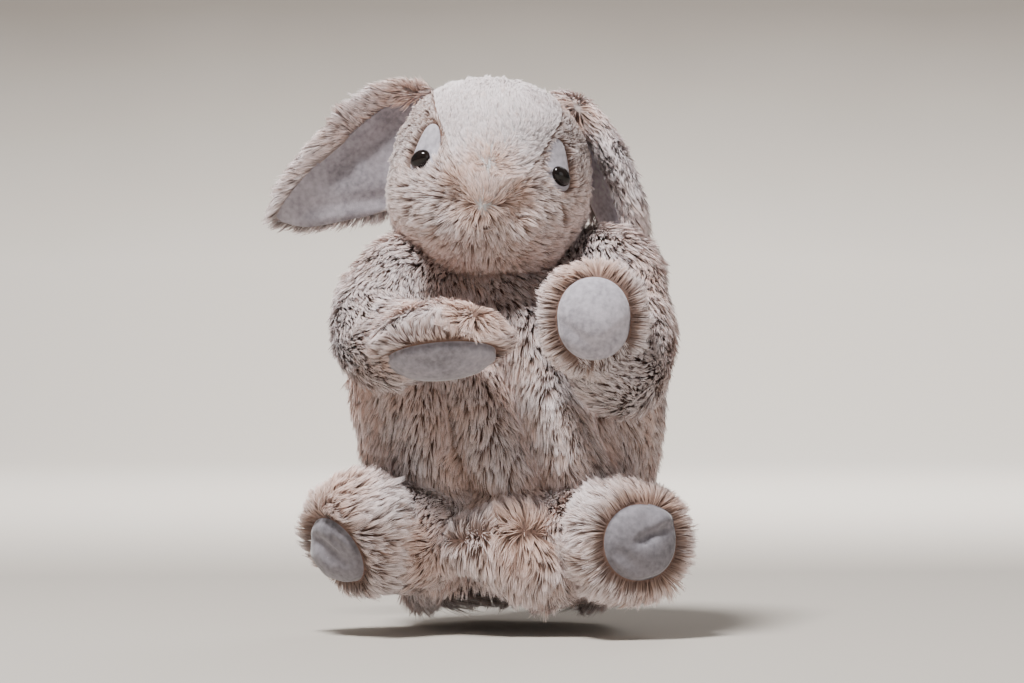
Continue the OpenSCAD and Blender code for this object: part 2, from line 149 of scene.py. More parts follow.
class Surface:
    """Points on a grid of rows and columns, with the faces between them and their normals.

    A surface that wraps joins its last column to its first. Faces are turned so that they
    look away from inside, a point or an array of points, on the whole.
    """

    def __init__(self, points, inside, wrap=False):
        self.points = np.asarray(points, float)
        self.wrap = wrap
        rows, columns = self.points.shape[:2]
        index = np.arange(rows * columns).reshape(rows, columns)
        if wrap:
            index = np.hstack([index, index[:, :1]])
        self.quads = np.stack(
            [index[:-1, :-1], index[:-1, 1:], index[1:, 1:], index[1:, :-1]], -1
        ).reshape(-1, 4)
        self.flat = self.points.reshape(-1, 3)
        away = self.flat - np.broadcast_to(inside, self.points.shape).reshape(-1, 3)
        if (self._normals() * away).sum() < 0:
            self.quads = self.quads[:, ::-1].copy()
        self.normals = self._normals()

    def _normals(self):
        a, b, c, d = (self.flat[self.quads[:, k]] for k in range(4))
        face = np.cross(c - a, d - b)
        out = np.zeros_like(self.flat)
        for k in range(4):
            np.add.at(out, self.quads[:, k], face)
        return unit(out)

    def places(self, per_mm2, rng):
        """Random places spread evenly over the surface, with the normals there."""
        triangles = np.vstack([self.quads[:, [0, 1, 2]], self.quads[:, [0, 2, 3]]])
        a, b, c = (self.flat[triangles[:, k]] for k in range(3))
        area = np.linalg.norm(np.cross(b - a, c - a), axis=1) / 2
        count = int(area.sum() * 1e6 * per_mm2)
        pick = rng.choice(len(triangles), count, p=area / area.sum())
        u, v = np.sqrt(rng.random(count)), rng.random(count)
        share = np.stack([1 - u, u * (1 - v), u * v], -1)[..., None]
        chosen = triangles[pick]
        return (self.flat[chosen] * share).sum(1), unit((self.normals[chosen] * share).sum(1))

    def area(self):
        a, b, c, d = (self.flat[self.quads[:, k]] for k in range(4))
        return np.linalg.norm(np.cross(c - a, d - b), axis=1).sum() / 2


# ---- meshes ----


def piece(name, points, faces, material, uv=None, normals=None):
    """A mesh object from arrays: faces is a list of arrays, each with faces of one size."""
    mesh = bpy.data.meshes.new(name)
    loops = np.concatenate([f.ravel() for f in faces]).astype(np.int32)
    sizes = np.concatenate([np.full(len(f), f.shape[1]) for f in faces])
    starts = (np.cumsum(sizes) - sizes).astype(np.int32)
    mesh.vertices.add(len(points))
    mesh.vertices.foreach_set("co", points.astype(np.float32).ravel())
    mesh.loops.add(len(loops))
    mesh.loops.foreach_set("vertex_index", loops)
    mesh.polygons.add(len(sizes))
    mesh.polygons.foreach_set("loop_start", starts)
    mesh.polygons.foreach_set("use_smooth", np.ones(len(sizes), bool))
    mesh.update(calc_edges=True)
    if uv is not None:
        layer = mesh.uv_layers.new(name="OFBake")
        layer.uv.foreach_set("vector", uv[loops].astype(np.float32).ravel())
    if normals is not None:
        mesh.normals_split_custom_set_from_vertices(normals.astype(np.float32))
    made = bpy.data.objects.new(name, mesh)
    bpy.context.scene.collection.objects.link(made)
    mesh.materials.append(material)
    return made


def placed(made, node=None, body=None):
    """Puts a piece on the body that carries it, and hides the CAD node it stands for."""
    if body:
        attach(made, body)
    if node:
        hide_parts(node)
    return made


def settled(made):
    """Puts a piece's modifiers into its mesh."""
    graph = bpy.context.evaluated_depsgraph_get()
    graph.update()
    mesh = bpy.data.meshes.new_from_object(made.evaluated_get(graph))
    made.modifiers.clear()
    old, made.data = made.data, mesh
    bpy.data.meshes.remove(old)
    mesh.name = made.name
    return made


def cloth(name, surface, thick, material):
    """A closed sheet: the surface thickened inwards, with a rim along its free edges."""
    made = piece(name, surface.flat, [surface.quads], material)
    solid = made.modifiers.new("thickness", "SOLIDIFY")
    solid.thickness, solid.offset = thick, -1
    return settled(made)


def shell(name, surface, material):
    """The surface as it is. Its ends are closed by points, or are inside another piece."""
    return piece(name, surface.flat, [surface.quads], material)


# ---- pile ----

PARTINGS = []  # places where the pile parts and its warm undercolour shows: middle and width


def parting(middle_point, width):
    PARTINGS.append((np.asarray(middle_point, float), width * MM))


def parted(p):
    """How strongly each place is in a parting, and the way that leads out of it."""
    share, away = np.zeros(len(p)), np.zeros_like(p)
    for spot, width in PARTINGS:
        step = p - spot
        here = hump(np.linalg.norm(step, axis=1), width)
        share = share + here
        away = away + unit(step) * here[:, None]
    return np.minimum(share, 1.0), away


class Pile:
    """How a fabric's pile grows. Lengths are in millimetres.

    lift is how steeply it stands, tuft how wide a tuft is, close how far a tuft's tips draw
    together, ragged how uneven the lengths are, per_mm2 how many blades a square millimetre
    has and width how wide they are.
    """

    def __init__(self, length, lift, tuft, close, ragged=0.35, per_mm2=3.2, width=0.36):
        self.length, self.lift, self.tuft, self.close = length * MM, lift, tuft * MM, close
        self.ragged, self.per_mm2, self.width = ragged, per_mm2, width * MM


SWIRL = 0.40          # how far the nap wanders from its way
PARTING_PUSH = 1.2    # how far a parting turns the nap away from its middle
PARTING_FLAT = 0.35   # and how much flatter the pile lies there
PARTING_WARM = 0.75   # and how much of its tint it loses
CLUMP_SIZE, CLUMP_DRAW = 2.6, 0.35   # a clump's size in tufts, and its draw as a share of a tuft's
STRAY, TUFT_STRAY = 0.10, 0.13       # how far tips stray, by themselves and as a tuft
ARCH = 0.14           # how far a blade's middle is raised
ROOT_DEPTH = 0.4 * MM


def tufts(p, size, seed):
    """The number of the tuft that each place is in: cells of a lattice that noise has bent."""
    bent = p + size * 0.7 * np.stack([ripple(p, size * 1.3, seed + k) for k in range(3)], -1)
    cell = np.floor(bent / size).astype(np.int64)
    key = (cell[:, 0] * 73856093) ^ (cell[:, 1] * 19349663) ^ (cell[:, 2] * 83492791)
    return np.unique(key, return_inverse=True)[1]


def group_mean(values, group, count):
    return np.stack([np.bincount(group, values[:, k], count) for k in range(3)], -1) / np.maximum(
        np.bincount(group, minlength=count), 1)[:, None]


def drawn(tip, aim, group, close, rng):
    """Tips drawn towards the mean of aim over their group, each by its own share of close."""
    count = group.max() + 1
    share = close * (0.35 + 1.3 * rng.random((len(tip), 1)))
    return tip + np.minimum(share, 0.95) * (group_mean(aim, group, count)[group] - tip)


def blades(surface, style, nap, tint, seed, where=None, grow=None):
    """Blades of pile on a surface, as arrays for piece().

    A blade has a pair of points at its root, a narrower pair at its middle and one tip. Its
    tip is at root + length * (lift along the normal + nap along the surface), drawn towards
    the tip of its tuft and then, less, towards that of the clump of tufts it belongs to. The
    middle is half way there, raised, so that the blade arches over. The map holds the way
    along a blade in u and its tint in v, with a little width. grow makes it longer or shorter.
    """
    rng = np.random.default_rng(seed)
    p, n = surface.places(style.per_mm2 * bpy.context.scene.puppet_pile.density, rng)
    if where is not None:
        kept = where(p)
        p, n = p[kept], n[kept]
    share, away = parted(p)
    along = nap(p, n) + PARTING_PUSH * away + SWIRL * np.stack(
        [ripple(p, 8 * MM, seed + 20 + k) for k in range(3)], -1)
    along = unit(along - n * dot(along, n))
    lift = style.lift * (1 - PARTING_FLAT * share[:, None])
    lay = np.sqrt(np.maximum(1 - lift**2, 0.05))
    group, clump = tufts(p, style.tuft, seed + 40), tufts(p, style.tuft * CLUMP_SIZE, seed + 60)
    own = rng.normal(size=(group.max() + 1, 3))[group] + rng.normal(size=(clump.max() + 1, 3))[clump]
    long = style.length * (1 + style.ragged * (rng.random((len(p), 1)) - 0.6))
    long = long * (1 + style.ragged * (rng.random((group.max() + 1, 1)) - 0.5))[group]
    if grow is not None:
        long = long * grow(p)[:, None]
    full = p + (n * lift + along * lay) * long
    tip = full + rng.normal(size=p.shape) * style.length * STRAY
    tip = drawn(tip, full + own * style.length * TUFT_STRAY, group, style.close, rng)
    tip = drawn(tip, tip, clump, CLUMP_DRAW * style.close, rng)
    half_way = p + 0.5 * (tip - p) + n * ARCH * style.length
    run = unit(tip - p)
    across = unit(np.cross(run, n))
    twist = rng.normal(size=(len(p), 1)) * 0.7
    across = across * np.cos(twist) + np.cross(run, across) * np.sin(twist)
    width = style.width * (0.7 + 0.6 * rng.random((len(p), 1)))
    root = p - n * ROOT_DEPTH
    points = np.stack([
        root - across * width / 2, root + across * width / 2,
        half_way + across * width * 0.42, half_way - across * width * 0.42, tip,
    ], 1).reshape(-1, 3)
    base = np.arange(len(p))[:, None] * 5
    facing = dot(np.cross(across, run), n) < 0
    quads = np.where(facing, base + [0, 3, 2, 1], base + [0, 1, 2, 3])
    tips = np.where(facing, base + [3, 4, 2], base + [3, 2, 4])
    shade = tint(p, n) - PARTING_WARM * share + rng.normal(size=len(p)) * 0.10
    shade = shade + 0.10 * rng.normal(size=group.max() + 1)[group]
    shade = np.clip(shade, 0.05, 0.95)[:, None]
    narrow = 0.004
    uv = np.stack([
        np.broadcast_to([0.03, 0.03, 0.5, 0.5, 0.97], (len(p), 5)),
        shade + narrow * np.array([-1, 1, 1, -1, 0]),
    ], -1).reshape(-1, 2)
    soft = unit(np.cross(across, run) * np.where(facing, -1, 1) + 1.3 * n)
    normals = np.repeat(soft, 5, axis=0)
    return points, quads, tips, uv, normals


def mottled(level, swing, span, seed):
    """A tint that goes up and down by swing round a level, over a span in mm."""
    return lambda p, n: level + swing * ripple(p, span * MM, seed)


def pile(name, parts, slot="fur", ear=False):
    """One piece of pile from the blades of one or more surfaces."""
    base, joined = 0, []
    for points, quads, tips, uv, normals in parts:
        joined.append((points, quads + base, tips + base, uv, normals))
        base += len(points)
    points, quads, tips, uv, normals = (np.concatenate(x) for x in zip(*joined))
    material = pile_finish("tipped_pile", 1.0) if slot == "fur" else pile_finish("pale_pile", 5.0)
    if ear:
        material = pile_finish("ear_pile", 2.6)
    return piece(name, points, [quads, tips], material, uv, normals)


# ---- finishes ----


def finish(name, make):
    """A material that make() fills in once: make gets a function that adds nodes."""
    found = bpy.data.materials.get(name)
    if found:
        return found
    material = bpy.data.materials.new(name)
    material.use_nodes = True
    tree = material.node_tree
    shader = tree.nodes["Principled BSDF"]

    def add(kind, inputs=None, **values):
        node = tree.nodes.new("ShaderNode" + kind)
        for key, value in values.items():
            setattr(node, key, value)
        for key, value in (inputs or {}).items():
            if isinstance(value, bpy.types.NodeSocket):
                tree.links.new(value, node.inputs[key])
            else:
                node.inputs[key].default_value = value
        return node

    def set_on(key, value):
        if isinstance(value, bpy.types.NodeSocket):
            tree.links.new(value, shader.inputs[key])
        else:
            shader.inputs[key].default_value = value

    make(add, set_on)
    return material


def ramp(add, value, stops):
    """A colour ramp with its stops given as place and colour."""
    node = add("ValToRGB", {"Fac": value})
    line = node.color_ramp
    while len(line.elements) < len(stops):
        line.elements.new(1)
    for element, (place, colour) in zip(line.elements, stops):
        element.position, element.color = place, (*colour, 1)
    return node.outputs["Color"]


def pile_finish(name, root_light):
    """Tipped pile: dark at the root, which is the pile's own darker root and also painted shade deep in
    the pile, duller below the middle and pale at the tip. The map's v goes from the warm undercolour to
    the palest tips. root_light makes the roots paler."""
    def make(add, set_on):
        settings = bpy.context.scene.puppet_pile
        place = add("SeparateXYZ", {"Vector": add("UVMap", uv_map="OFBake").outputs["UV"]})
        root, under, tip = (np.array(c) for c in (
            settings.root_colour, settings.under_colour, settings.tip_colour))
        tip = tip if root_light == 1 else np.minimum(tip * 1.07, 1)
        root = root + (tip * 0.7 - root) * (root_light - 1) / 5
        warm = ramp(add, place.outputs["X"], [
            (0.0, root), (0.30, under * 0.7), (0.60, (under + tip * (1, 0.80, 0.68)) / 2),
            (1.0, tip * (1.0, 0.86, 0.79))])
        dull = tip * ((0.50, 0.44, 0.41) if root_light == 1 else (0.88, 0.85, 0.85))
        pale = ramp(add, place.outputs["X"], [
            (0.0, root), (0.34, (2 * root + dull) / 3), (0.60, (dull + tip) / 2), (0.88, tip)])
        mixed = add("Mix", {0: place.outputs["Y"], 6: warm, 7: pale}, data_type="RGBA")
        set_on("Base Color", mixed.outputs[2])
        set_on("Roughness", 0.75)
        set_on("Sheen Weight", 0.2)
        set_on("Sheen Roughness", 0.5)
    return finish(name, make)


def noise_on_object(add, scale, detail=3.0):
    where = add("TexCoord").outputs["Object"]
    return add("TexNoise", {"Vector": where, "Scale": scale, "Detail": detail}).outputs["Fac"]


def bump(add, height, strength, distance):
    return add("Bump", {"Height": height, "Strength": strength, "Distance": distance}).outputs["Normal"]


def speckled(name, grain, colours, roughness, relief=None, **others):
    """Two colours in noise, with a finer noise as relief: its own noise, strength and depth.
    grain and relief's noise are a scale and a detail; others are the shader's other values."""
    def make(add, set_on):
        set_on("Base Color", ramp(add, noise_on_object(add, *grain), colours))
        set_on("Roughness", roughness)
        if relief:
            set_on("Normal", bump(add, noise_on_object(add, *relief[0]), *relief[1:]))
        for socket, value in others.items():
            set_on(socket.replace("_", " "), value)
    return finish(name, make)


def backing_finish(name="knit_backing", light=1.0):
    """The knitted backing that the pile stands on, with fine loops: brown, or paler."""
    root = np.array(bpy.context.scene.puppet_pile.root_colour)
    root = root + (0.6 - root) * (light - 1) / 6
    return speckled(name, (260, 3.0), [(0.3, root), (0.7, root * 1.5)], 0.9, ((1400, 2), 0.5, 0.0004))


def velour_finish(name="brushed_velour", light=1.0):
    """Short brushed nap: pale lavender grey, cloudy where the nap lies another way. light scales its
    colour: the soles, the palm that looks down and the right ear's lining get darker copies as painted
    shade, and the left ear's lining a paler copy as painted light."""
    def make(add, set_on):
        colour = np.array(bpy.context.scene.puppet_velour.colour) * light
        cloudy = add(
            "Math", {0: noise_on_object(add, 55, 4), 1: noise_on_object(add, 420, 2)}, operation="ADD")
        fac = add("Math", {0: cloudy.outputs[0], 1: 0.5}, operation="MULTIPLY").outputs[0]
        set_on("Base Color", ramp(add, fac, [
            (0.34, colour * 0.60), (0.50, colour * 0.95), (0.66, np.minimum(colour * 1.25, 0.95))]))
        set_on("Roughness", 0.85)
        set_on("Sheen Weight", 0.45)
        set_on("Sheen Roughness", 0.4)
        set_on("Normal", bump(add, noise_on_object(add, 1900, 2), 0.35, 0.0003))
    return finish(name, make)


def lining_finish():
    """Plain woven lining: two crossed waves of threads."""
    def make(add, set_on):
        where = add("TexCoord").outputs["Object"]
        threads = [
            add("TexWave", {"Vector": where, "Scale": 520.0, "Distortion": 0.6},
                bands_direction=way).outputs["Fac"]
            for way in ("X", "Z")
        ]
        weave = add("Math", {0: threads[0], 1: threads[1]}, operation="MULTIPLY").outputs[0]
        set_on("Base Color", ramp(add, weave, [(0.0, (0.50, 0.45, 0.40)), (1.0, (0.72, 0.67, 0.61))]))
        set_on("Roughness", 0.8)
        set_on("Normal", bump(add, weave, 0.4, 0.0003))
    return finish("woven_lining", make)


# Finishes of two colours: the noise and colours, the roughness, the relief and other values.
PLAIN_FINISHES = {
    # loose white stuffing with crimped fibres
    "wadding": ((240, 6), [(0.3, (0.72, 0.70, 0.66)), (0.7, (0.90, 0.89, 0.86))], 0.95,
                ((900, 5), 0.8, 0.001)),
    # twisted thread with fine bands
    "pale_thread": ((2600, 2), [(0.3, (0.28, 0.203, 0.175)), (0.7, (0.40, 0.29, 0.25))], 0.6,
                    ((2600, 2), 0.5, 0.0002)),
    # moulded nylon with faint flow marks
    "satin_nylon": ((500, 3), [(0.3, (0.015, 0.014, 0.013)), (0.7, (0.03, 0.028, 0.026))], 0.45,
                    ((500, 3), 0.15, 0.0002)),
}


def plain_finish(name):
    return speckled(name, *PLAIN_FINISHES[name])


def eye_finish():
    """Glossy moulded plastic, nearly black, with the faint brown of its depth."""
    return speckled("glossy_eye", (300, 2), [(0.3, (0.004, 0.003, 0.003)), (0.8, (0.016, 0.010, 0.008))],
                    0.12, Specular_IOR_Level=0.22, Coat_Weight=0.25, Coat_Roughness=0.03)


# ---- the glove body ----

GLOVE_NODES = ("body_front_panel", "body_back_panel")
# Half width and half depth of the glove as shares of its greatest ones, by height.
GLOVE_HEIGHTS = [0.0, 0.06, 0.22, 0.42, 0.58, 0.74, 0.88, 0.96, 1.0]
GLOVE_WIDTHS = [0.70, 0.78, 0.90, 0.99, 1.05, 1.01, 0.80, 0.60, 0.40]
GLOVE_DEPTHS = [1.20, 1.10, 1.06, 1.01, 0.95, 0.86, 0.76, 0.68, 0.58]


def neck_place():
    return pivot("neck_turn")


def glove_spots(z, angle, inset=0.0):
    """Places on the glove at heights z and angles round it, in metres.

    An ellipse at each height, with its half width and depth from the lists above and its
    middle leaning towards the neck, less bells along the folds that hang from the shoulders.
    """
    low, high = corners(*GLOVE_NODES)
    base, top = low[2], high[2]
    share = np.clip((z - base) / (top - base), 0, 1)
    half = half_size(*GLOVE_NODES)
    depth = 0.86 * half[1]
    x = through(share, GLOVE_HEIGHTS, np.array(GLOVE_WIDTHS) * half[0]) - inset
    y = through(share, GLOVE_HEIGHTS, np.array(GLOVE_DEPTHS) * depth) - inset
    lean = neck_place()[0] * (0.5 * share + 0.5 * share**6)
    places = np.stack([x * np.cos(angle) + lean, y * np.sin(angle), z], -1)
    out = np.stack([np.cos(angle) * y, np.sin(angle) * x, np.zeros_like(z)], -1)
    return places + unit(out) * folds(places)[..., None]


# Folds on the front of the glove: where they start and end as x, z in mm, their width and
# how far they stand out.
FOLDS = [
    ((4, 130), (30, 60), 6.0, 9.0), ((-8, 116), (12, 62), 4.5, -9.0), ((24, 108), (44, 66), 5, -5.0),
    ((-34, 104), (-22, 62), 5, -6.5), ((-50, 106), (-44, 58), 7, 4.0), ((-18, 98), (-14, 66), 5, 3.5),
    ((46, 112), (56, 74), 6, 4.0), ((-64, 104), (-60, 62), 5, -4.5), ((66, 106), (62, 70), 4, -3.5),
    ((-30, 60), (24, 58), 5, -4.0),
]


def ridges(x, z, lines, fade=9):
    """How far cloth stands out at x, z in mm: a bell across each line, fading at its ends."""
    out = np.zeros_like(x)
    for (x0, z0), (x1, z1), width, rise in lines:
        length = np.hypot(x1 - x0, z1 - z0)
        way = np.array([x1 - x0, z1 - z0]) / length
        along = (x - x0) * way[0] + (z - z0) * way[1]
        across = (x - x0) * way[1] - (z - z0) * way[0]
        beyond = np.maximum(np.maximum(-along, along - length), 0)
        out = out + rise * hump(across, width) * hump(beyond, fade)
    return out * MM


def pressed(surface, lines, fade=9):
    """Moves a surface's points along their normals by the ridges at their x and z."""
    x, z = surface.flat[:, 0] / MM, surface.flat[:, 2] / MM
    surface.flat = surface.flat + surface.normals * ridges(x, z, lines, fade)[:, None]
    return surface


def folds(places):
    """How far the glove stands out at each place: its folds in front, hanging waves behind."""
    x, z = places[..., 0] / MM, places[..., 2] / MM
    out = ridges(x, z, FOLDS)
    front = np.clip(-places[..., 1] / (8 * MM), 0, 1)
    back = np.clip(places[..., 1] / (8 * MM), 0, 1)
    hanging = 2.2 * MM * np.sin(x / 11 + 1.3 * np.sin(z / 30)) * np.clip(1.2 - z / 140, 0, 1)
    return out * front + hanging * back + 1.0 * MM * ripple(places, 16 * MM, 3)


def glove_half(front, inset=0.0, top=0.0, rows=90, columns=110):
    """The front or back of the glove, from the hem to the neck."""
    low, high = corners(*GLOVE_NODES)
    z = np.linspace(low[2] - 4 * MM, high[2] + top, rows)[:, None]
    turn = np.pi if front else 0.0
    angle = np.linspace(turn, turn + np.pi, columns)[None, :]
    z, angle = np.broadcast_arrays(z, angle)
    middle_line = np.stack([np.zeros_like(z), np.zeros_like(z), z], -1)
    return Surface(glove_spots(z, angle, inset), middle_line)


def glove_nap(p, n):
    """Down, with slow swirls."""
    x = p[:, 0] / MM
    return np.stack([0.25 * np.sin(x / 17) + 0.7 * ripple(p, 24 * MM, 11), 0 * x, -np.ones_like(x)], -1)


def glove_tint_and_fold_shading(p, n):
    """Paler on what stands out and browner in the folds, as painted highlight and shade, with random tone
    on top.
    """
    # painted highlight on the raised folds, painted shade in the sunken ones
    raised = np.clip(folds(p) / (6 * MM), -1.2, 1)
    return 0.53 + 0.16 * raised + 0.20 * ripple(p, 13 * MM, 5) + 0.16 * ripple(p, 4.5 * MM, 6)


# ---- the head ----

HEAD_NODES = ("forehead_gusset", "left_cheek_panel", "right_cheek_panel")
HEAD_TURN = turned((-6, 7, 0))     # the face looks up a little and leans to the rabbit's left
MUZZLE_WAY = unit(np.array([0.0, -0.885, -0.465]))
EYE_SPOT = np.array([30.5, -32.8, 0.6])


def head_middle():
    return middle(*HEAD_NODES) + np.array([0, 4, -3.4]) * MM


def bell(ways, x, y, z, width):
    """A bell round one way out of the head's middle, mirrored to both sides if x isn't 0."""
    near = hump(np.linalg.norm(ways - unit(np.array([x, y, z], float)), axis=-1), width)
    if x:
        near = near + hump(np.linalg.norm(ways - unit(np.array([-x, y, z], float)), axis=-1), width)
    return near


HEAD_POWER = 2.3
HEAD_EASE = np.array([-0.8, -4.6, 1.8]) * MM   # how the skin's half sizes differ from the CAD box's
# Bells on the head: how far they stand out in mm, the way to them and their width.
HEAD_BELLS = [
    (8.0, 0, -0.885, -0.465, 0.30), (2.5, 0.50, -0.70, -0.52, 0.26),       # muzzle, cheeks
    (1.5, 0, -0.62, 0.74, 0.40), (1.5, 0, -0.90, -0.05, 0.22),             # forehead, bridge
    (-3.2, 0.62, -0.72, 0.16, 0.20), (-5.2, 0.235, -0.90, -0.36, 0.09),    # eyes, beside the nose
    (-2.6, 0, -0.80, -0.66, 0.09), (-1.6, 0.12, -0.80, -0.62, 0.08),       # mouth
]


def head_reach(ways):
    """How far the skin is from the head's middle along unit ways in the head's own axes.

    An ellipsoid of the given power, plus the bells.
    """
    half = half_size(*HEAD_NODES) + HEAD_EASE
    reach = (np.abs(ways / half) ** HEAD_POWER).sum(-1) ** (-1 / HEAD_POWER)
    rise = sum(height * bell(ways, *place) for height, *place in HEAD_BELLS)
    return reach + rise * MM


def head_spots(ways, out=0.0):
    """Places on the head's skin along ways in its own axes, moved out by a distance."""
    return (ways * (head_reach(ways) + out)[..., None]) @ HEAD_TURN.T + head_middle()


def head_ways(p):
    """The ways in the head's own axes from its middle to places."""
    return unit((p - head_middle()) @ HEAD_TURN)


def head_panel(first, last, rows=80, columns=70, inset=0.0):
    """A panel of the head between two angles round the line through the muzzle.

    The rows go from the tip of the muzzle to the back of the head, where the seams meet.
    """
    side = np.array([1.0, 0, 0])
    top = np.cross(MUZZLE_WAY, side)
    top = top if top[2] > 0 else -top
    away = np.linspace(0.01, np.pi - 0.01, rows)[:, None, None]
    round_it = np.radians(np.linspace(first, last, columns))[None, :, None]
    ways = unit(
        np.cos(away) * MUZZLE_WAY + np.sin(away) * (np.cos(round_it) * side + np.sin(round_it) * top))
    return Surface(head_spots(ways, -inset), head_middle())


def face_nap(p, n):
    """Away from the nose: up over the forehead, out over the cheeks, down over the chin and
    down the back of the head."""
    ways = head_ways(p)
    way = (ways - MUZZLE_WAY) @ HEAD_TURN.T
    near = hump(np.linalg.norm(way, axis=1), 0.16)[:, None]
    behind = np.clip(ways[:, 1:2] + 0.1, 0, 1)
    return unit(way) + (0.25 + 1.6 * near + 2.0 * behind) * DOWN


def eye_frame(side):
    """The middle of an eye on the head and its outward, upward and sideways ways, in the
    head's own axes. Upward leans to the middle of the head, as the eye's slant does."""
    way = unit(EYE_SPOT * [side, 1, 1])
    high = np.array([-side * PATCH_LEAN, 0, 1.0])
    up = unit(high - way * (high @ way))
    return way, up, np.cross(up, way) * side


def in_eye(ways, side):
    """Places round an eye as sideways and upward distances in mm, for ways out of the head."""
    way, up, across = eye_frame(side)
    reach = head_reach(way[None])[0] / MM
    step = (ways / np.maximum(dot(ways, way), 0.05) - way) * reach
    ahead = (ways @ way) > 0.3
    far = 1e3
    return np.where(ahead, step @ across, far), np.where(ahead, step @ up, far)


PATCH = (7.9, 6.4, 17.5)   # half width of an eye patch, and its reach below and above the eye
INWARDS = 0.6              # how far the patch is nearer to the nose than the eye
PATCH_LEAN = 0.06          # how far it leans to the middle of the head for each step up


def patch_edge(angle):
    """The edge of an eye patch round the eye, in mm: a drop that reaches up and inwards."""
    wide, low, high = PATCH
    x, y = (np.sign(f) * np.abs(f) ** (2 / 2.5) for f in (np.cos(angle), np.sin(angle)))
    return wide * x * (1 - 0.22 * np.maximum(y, 0)) - INWARDS, np.where(y > 0, high, low) * y


def on_patch(ways, side, margin):
    """Whether ways out of the head meet an eye patch, made larger by a margin in mm."""
    x, y = in_eye(ways, side)
    wide, low, high = PATCH
    tall = np.where(y > 0, high, low) + margin
    wide = (wide + margin) * (1 - 0.22 * np.clip(y / tall, 0, 1))
    return np.abs((x + INWARDS) / wide) ** 2.5 + np.abs(y / tall) ** 2.5 < 1


def off_patches(p):
    ways = head_ways(p)
    return ~(on_patch(ways, 1, 0.4) | on_patch(ways, -1, 0.4))


# ---- stuffed paws and feet ----


class Stuffed:
    """A stuffed paw or foot: an ellipsoid with a smooth panel where its local -Y is.

    Its own axes are the columns of turn, its half sizes are in half, and pad is how far the
    panel reaches from the pole, as an angle in degrees.
    """

    def __init__(self, node, half, turn, pad, flat=0.0, shift=(0, 0, 0)):
        self.middle = middle(node) + np.array(shift) * MM
        self.half, self.turn = np.array(half) * MM, turn
        self.pad, self.flat = np.radians(pad), flat

    def spots(self, away, round_it, out=0.0):
        """Places at an angle away from the panel's pole and an angle round it."""
        shape = np.stack([
            np.sin(away) * np.cos(round_it), -np.cos(away), np.sin(away) * np.sin(round_it)], -1)
        squared = np.abs(shape) ** 2.15
        shape = shape / (squared.sum(-1, keepdims=True) ** (1 / 2.15))
        near = np.clip(1 - away / self.pad, 0, 1)
        shape = shape - np.stack([0 * near, -self.flat * near, 0 * near], -1)
        seam = hump(away - self.pad, 0.09) * 2.2 * MM
        local = shape * (self.half + out) - unit(shape) * seam[..., None]
        return local @ self.turn.T + self.middle

    def grid(self, first, last, rows, columns=72, out=0.0):
        away = np.linspace(first, last, rows)[:, None]
        round_it = np.linspace(0, TAU, columns, endpoint=False)[None, :]
        away, round_it = np.broadcast_arrays(away, round_it)
        return Surface(self.spots(away, round_it, out), self.middle, wrap=True)

    def skin(self):
        return self.grid(self.pad, np.pi - 0.01, 60)

    def panel(self):
        return self.grid(0.004, self.pad + 0.03, 44)

    def nap(self, p, n):
        """Away from the panel and over to the back."""
        pole = -self.turn[:, 1] * self.half[1] * 1.1 + self.middle
        return unit(p - pole)


def paw(side):
    if side > 0:
        return Stuffed("left_paw_filling", (20.5, 19, 23), np.eye(3), 60, shift=(-0.8, 0.5, -0.7))
    turn = turned((67, 0, 0)) @ turned((0, 90, 5))
    return Stuffed("right_paw_filling", (18.5, 15.5, 28), turn, 67, shift=(-0.6, 0, -1.0))


def foot(side):
    if side > 0:
        return Stuffed("left_foot_filling", (24.5, 23, 24), turned((0, 0, 22)), 49, 0.08, (1.5, 0, 0))
    return Stuffed("right_foot_filling", (23, 23, 24), turned((28, 0, -50)), 47, 0.08, (-3.5, 0, 2.5))


# ---- tubes: sleeves, legs and the hem ----


def tube(line, radii, rows=60, columns=56, start=0.0, end=1.0, flat=(1.0, 1.0)):
    """A tube along a smooth line through a few places, with radii given at the same places.

    At each place on the line the ring lies across the line's way; flat scales its two axes.
    """
    line = np.array(line, float) * MM
    at = np.concatenate([[0], np.cumsum(np.linalg.norm(np.diff(line, axis=0), axis=1))])
    at = at / at[-1]
    s = np.linspace(start, end, rows)
    centre = through(s, at, line)
    radius = through(s, at, np.array(radii, float) * MM)
    way = unit(np.gradient(centre, axis=0))
    side = unit(np.cross(way, np.array([0.25, 1.0, 0.15])))
    other = np.cross(way, side)
    angle = np.linspace(0, TAU, columns, endpoint=False)[None, :, None]
    ring = side[:, None] * np.cos(angle) * flat[0] + other[:, None] * np.sin(angle) * flat[1]
    return Surface(centre[:, None] + ring * radius[:, None, None], centre[:, None], wrap=True)


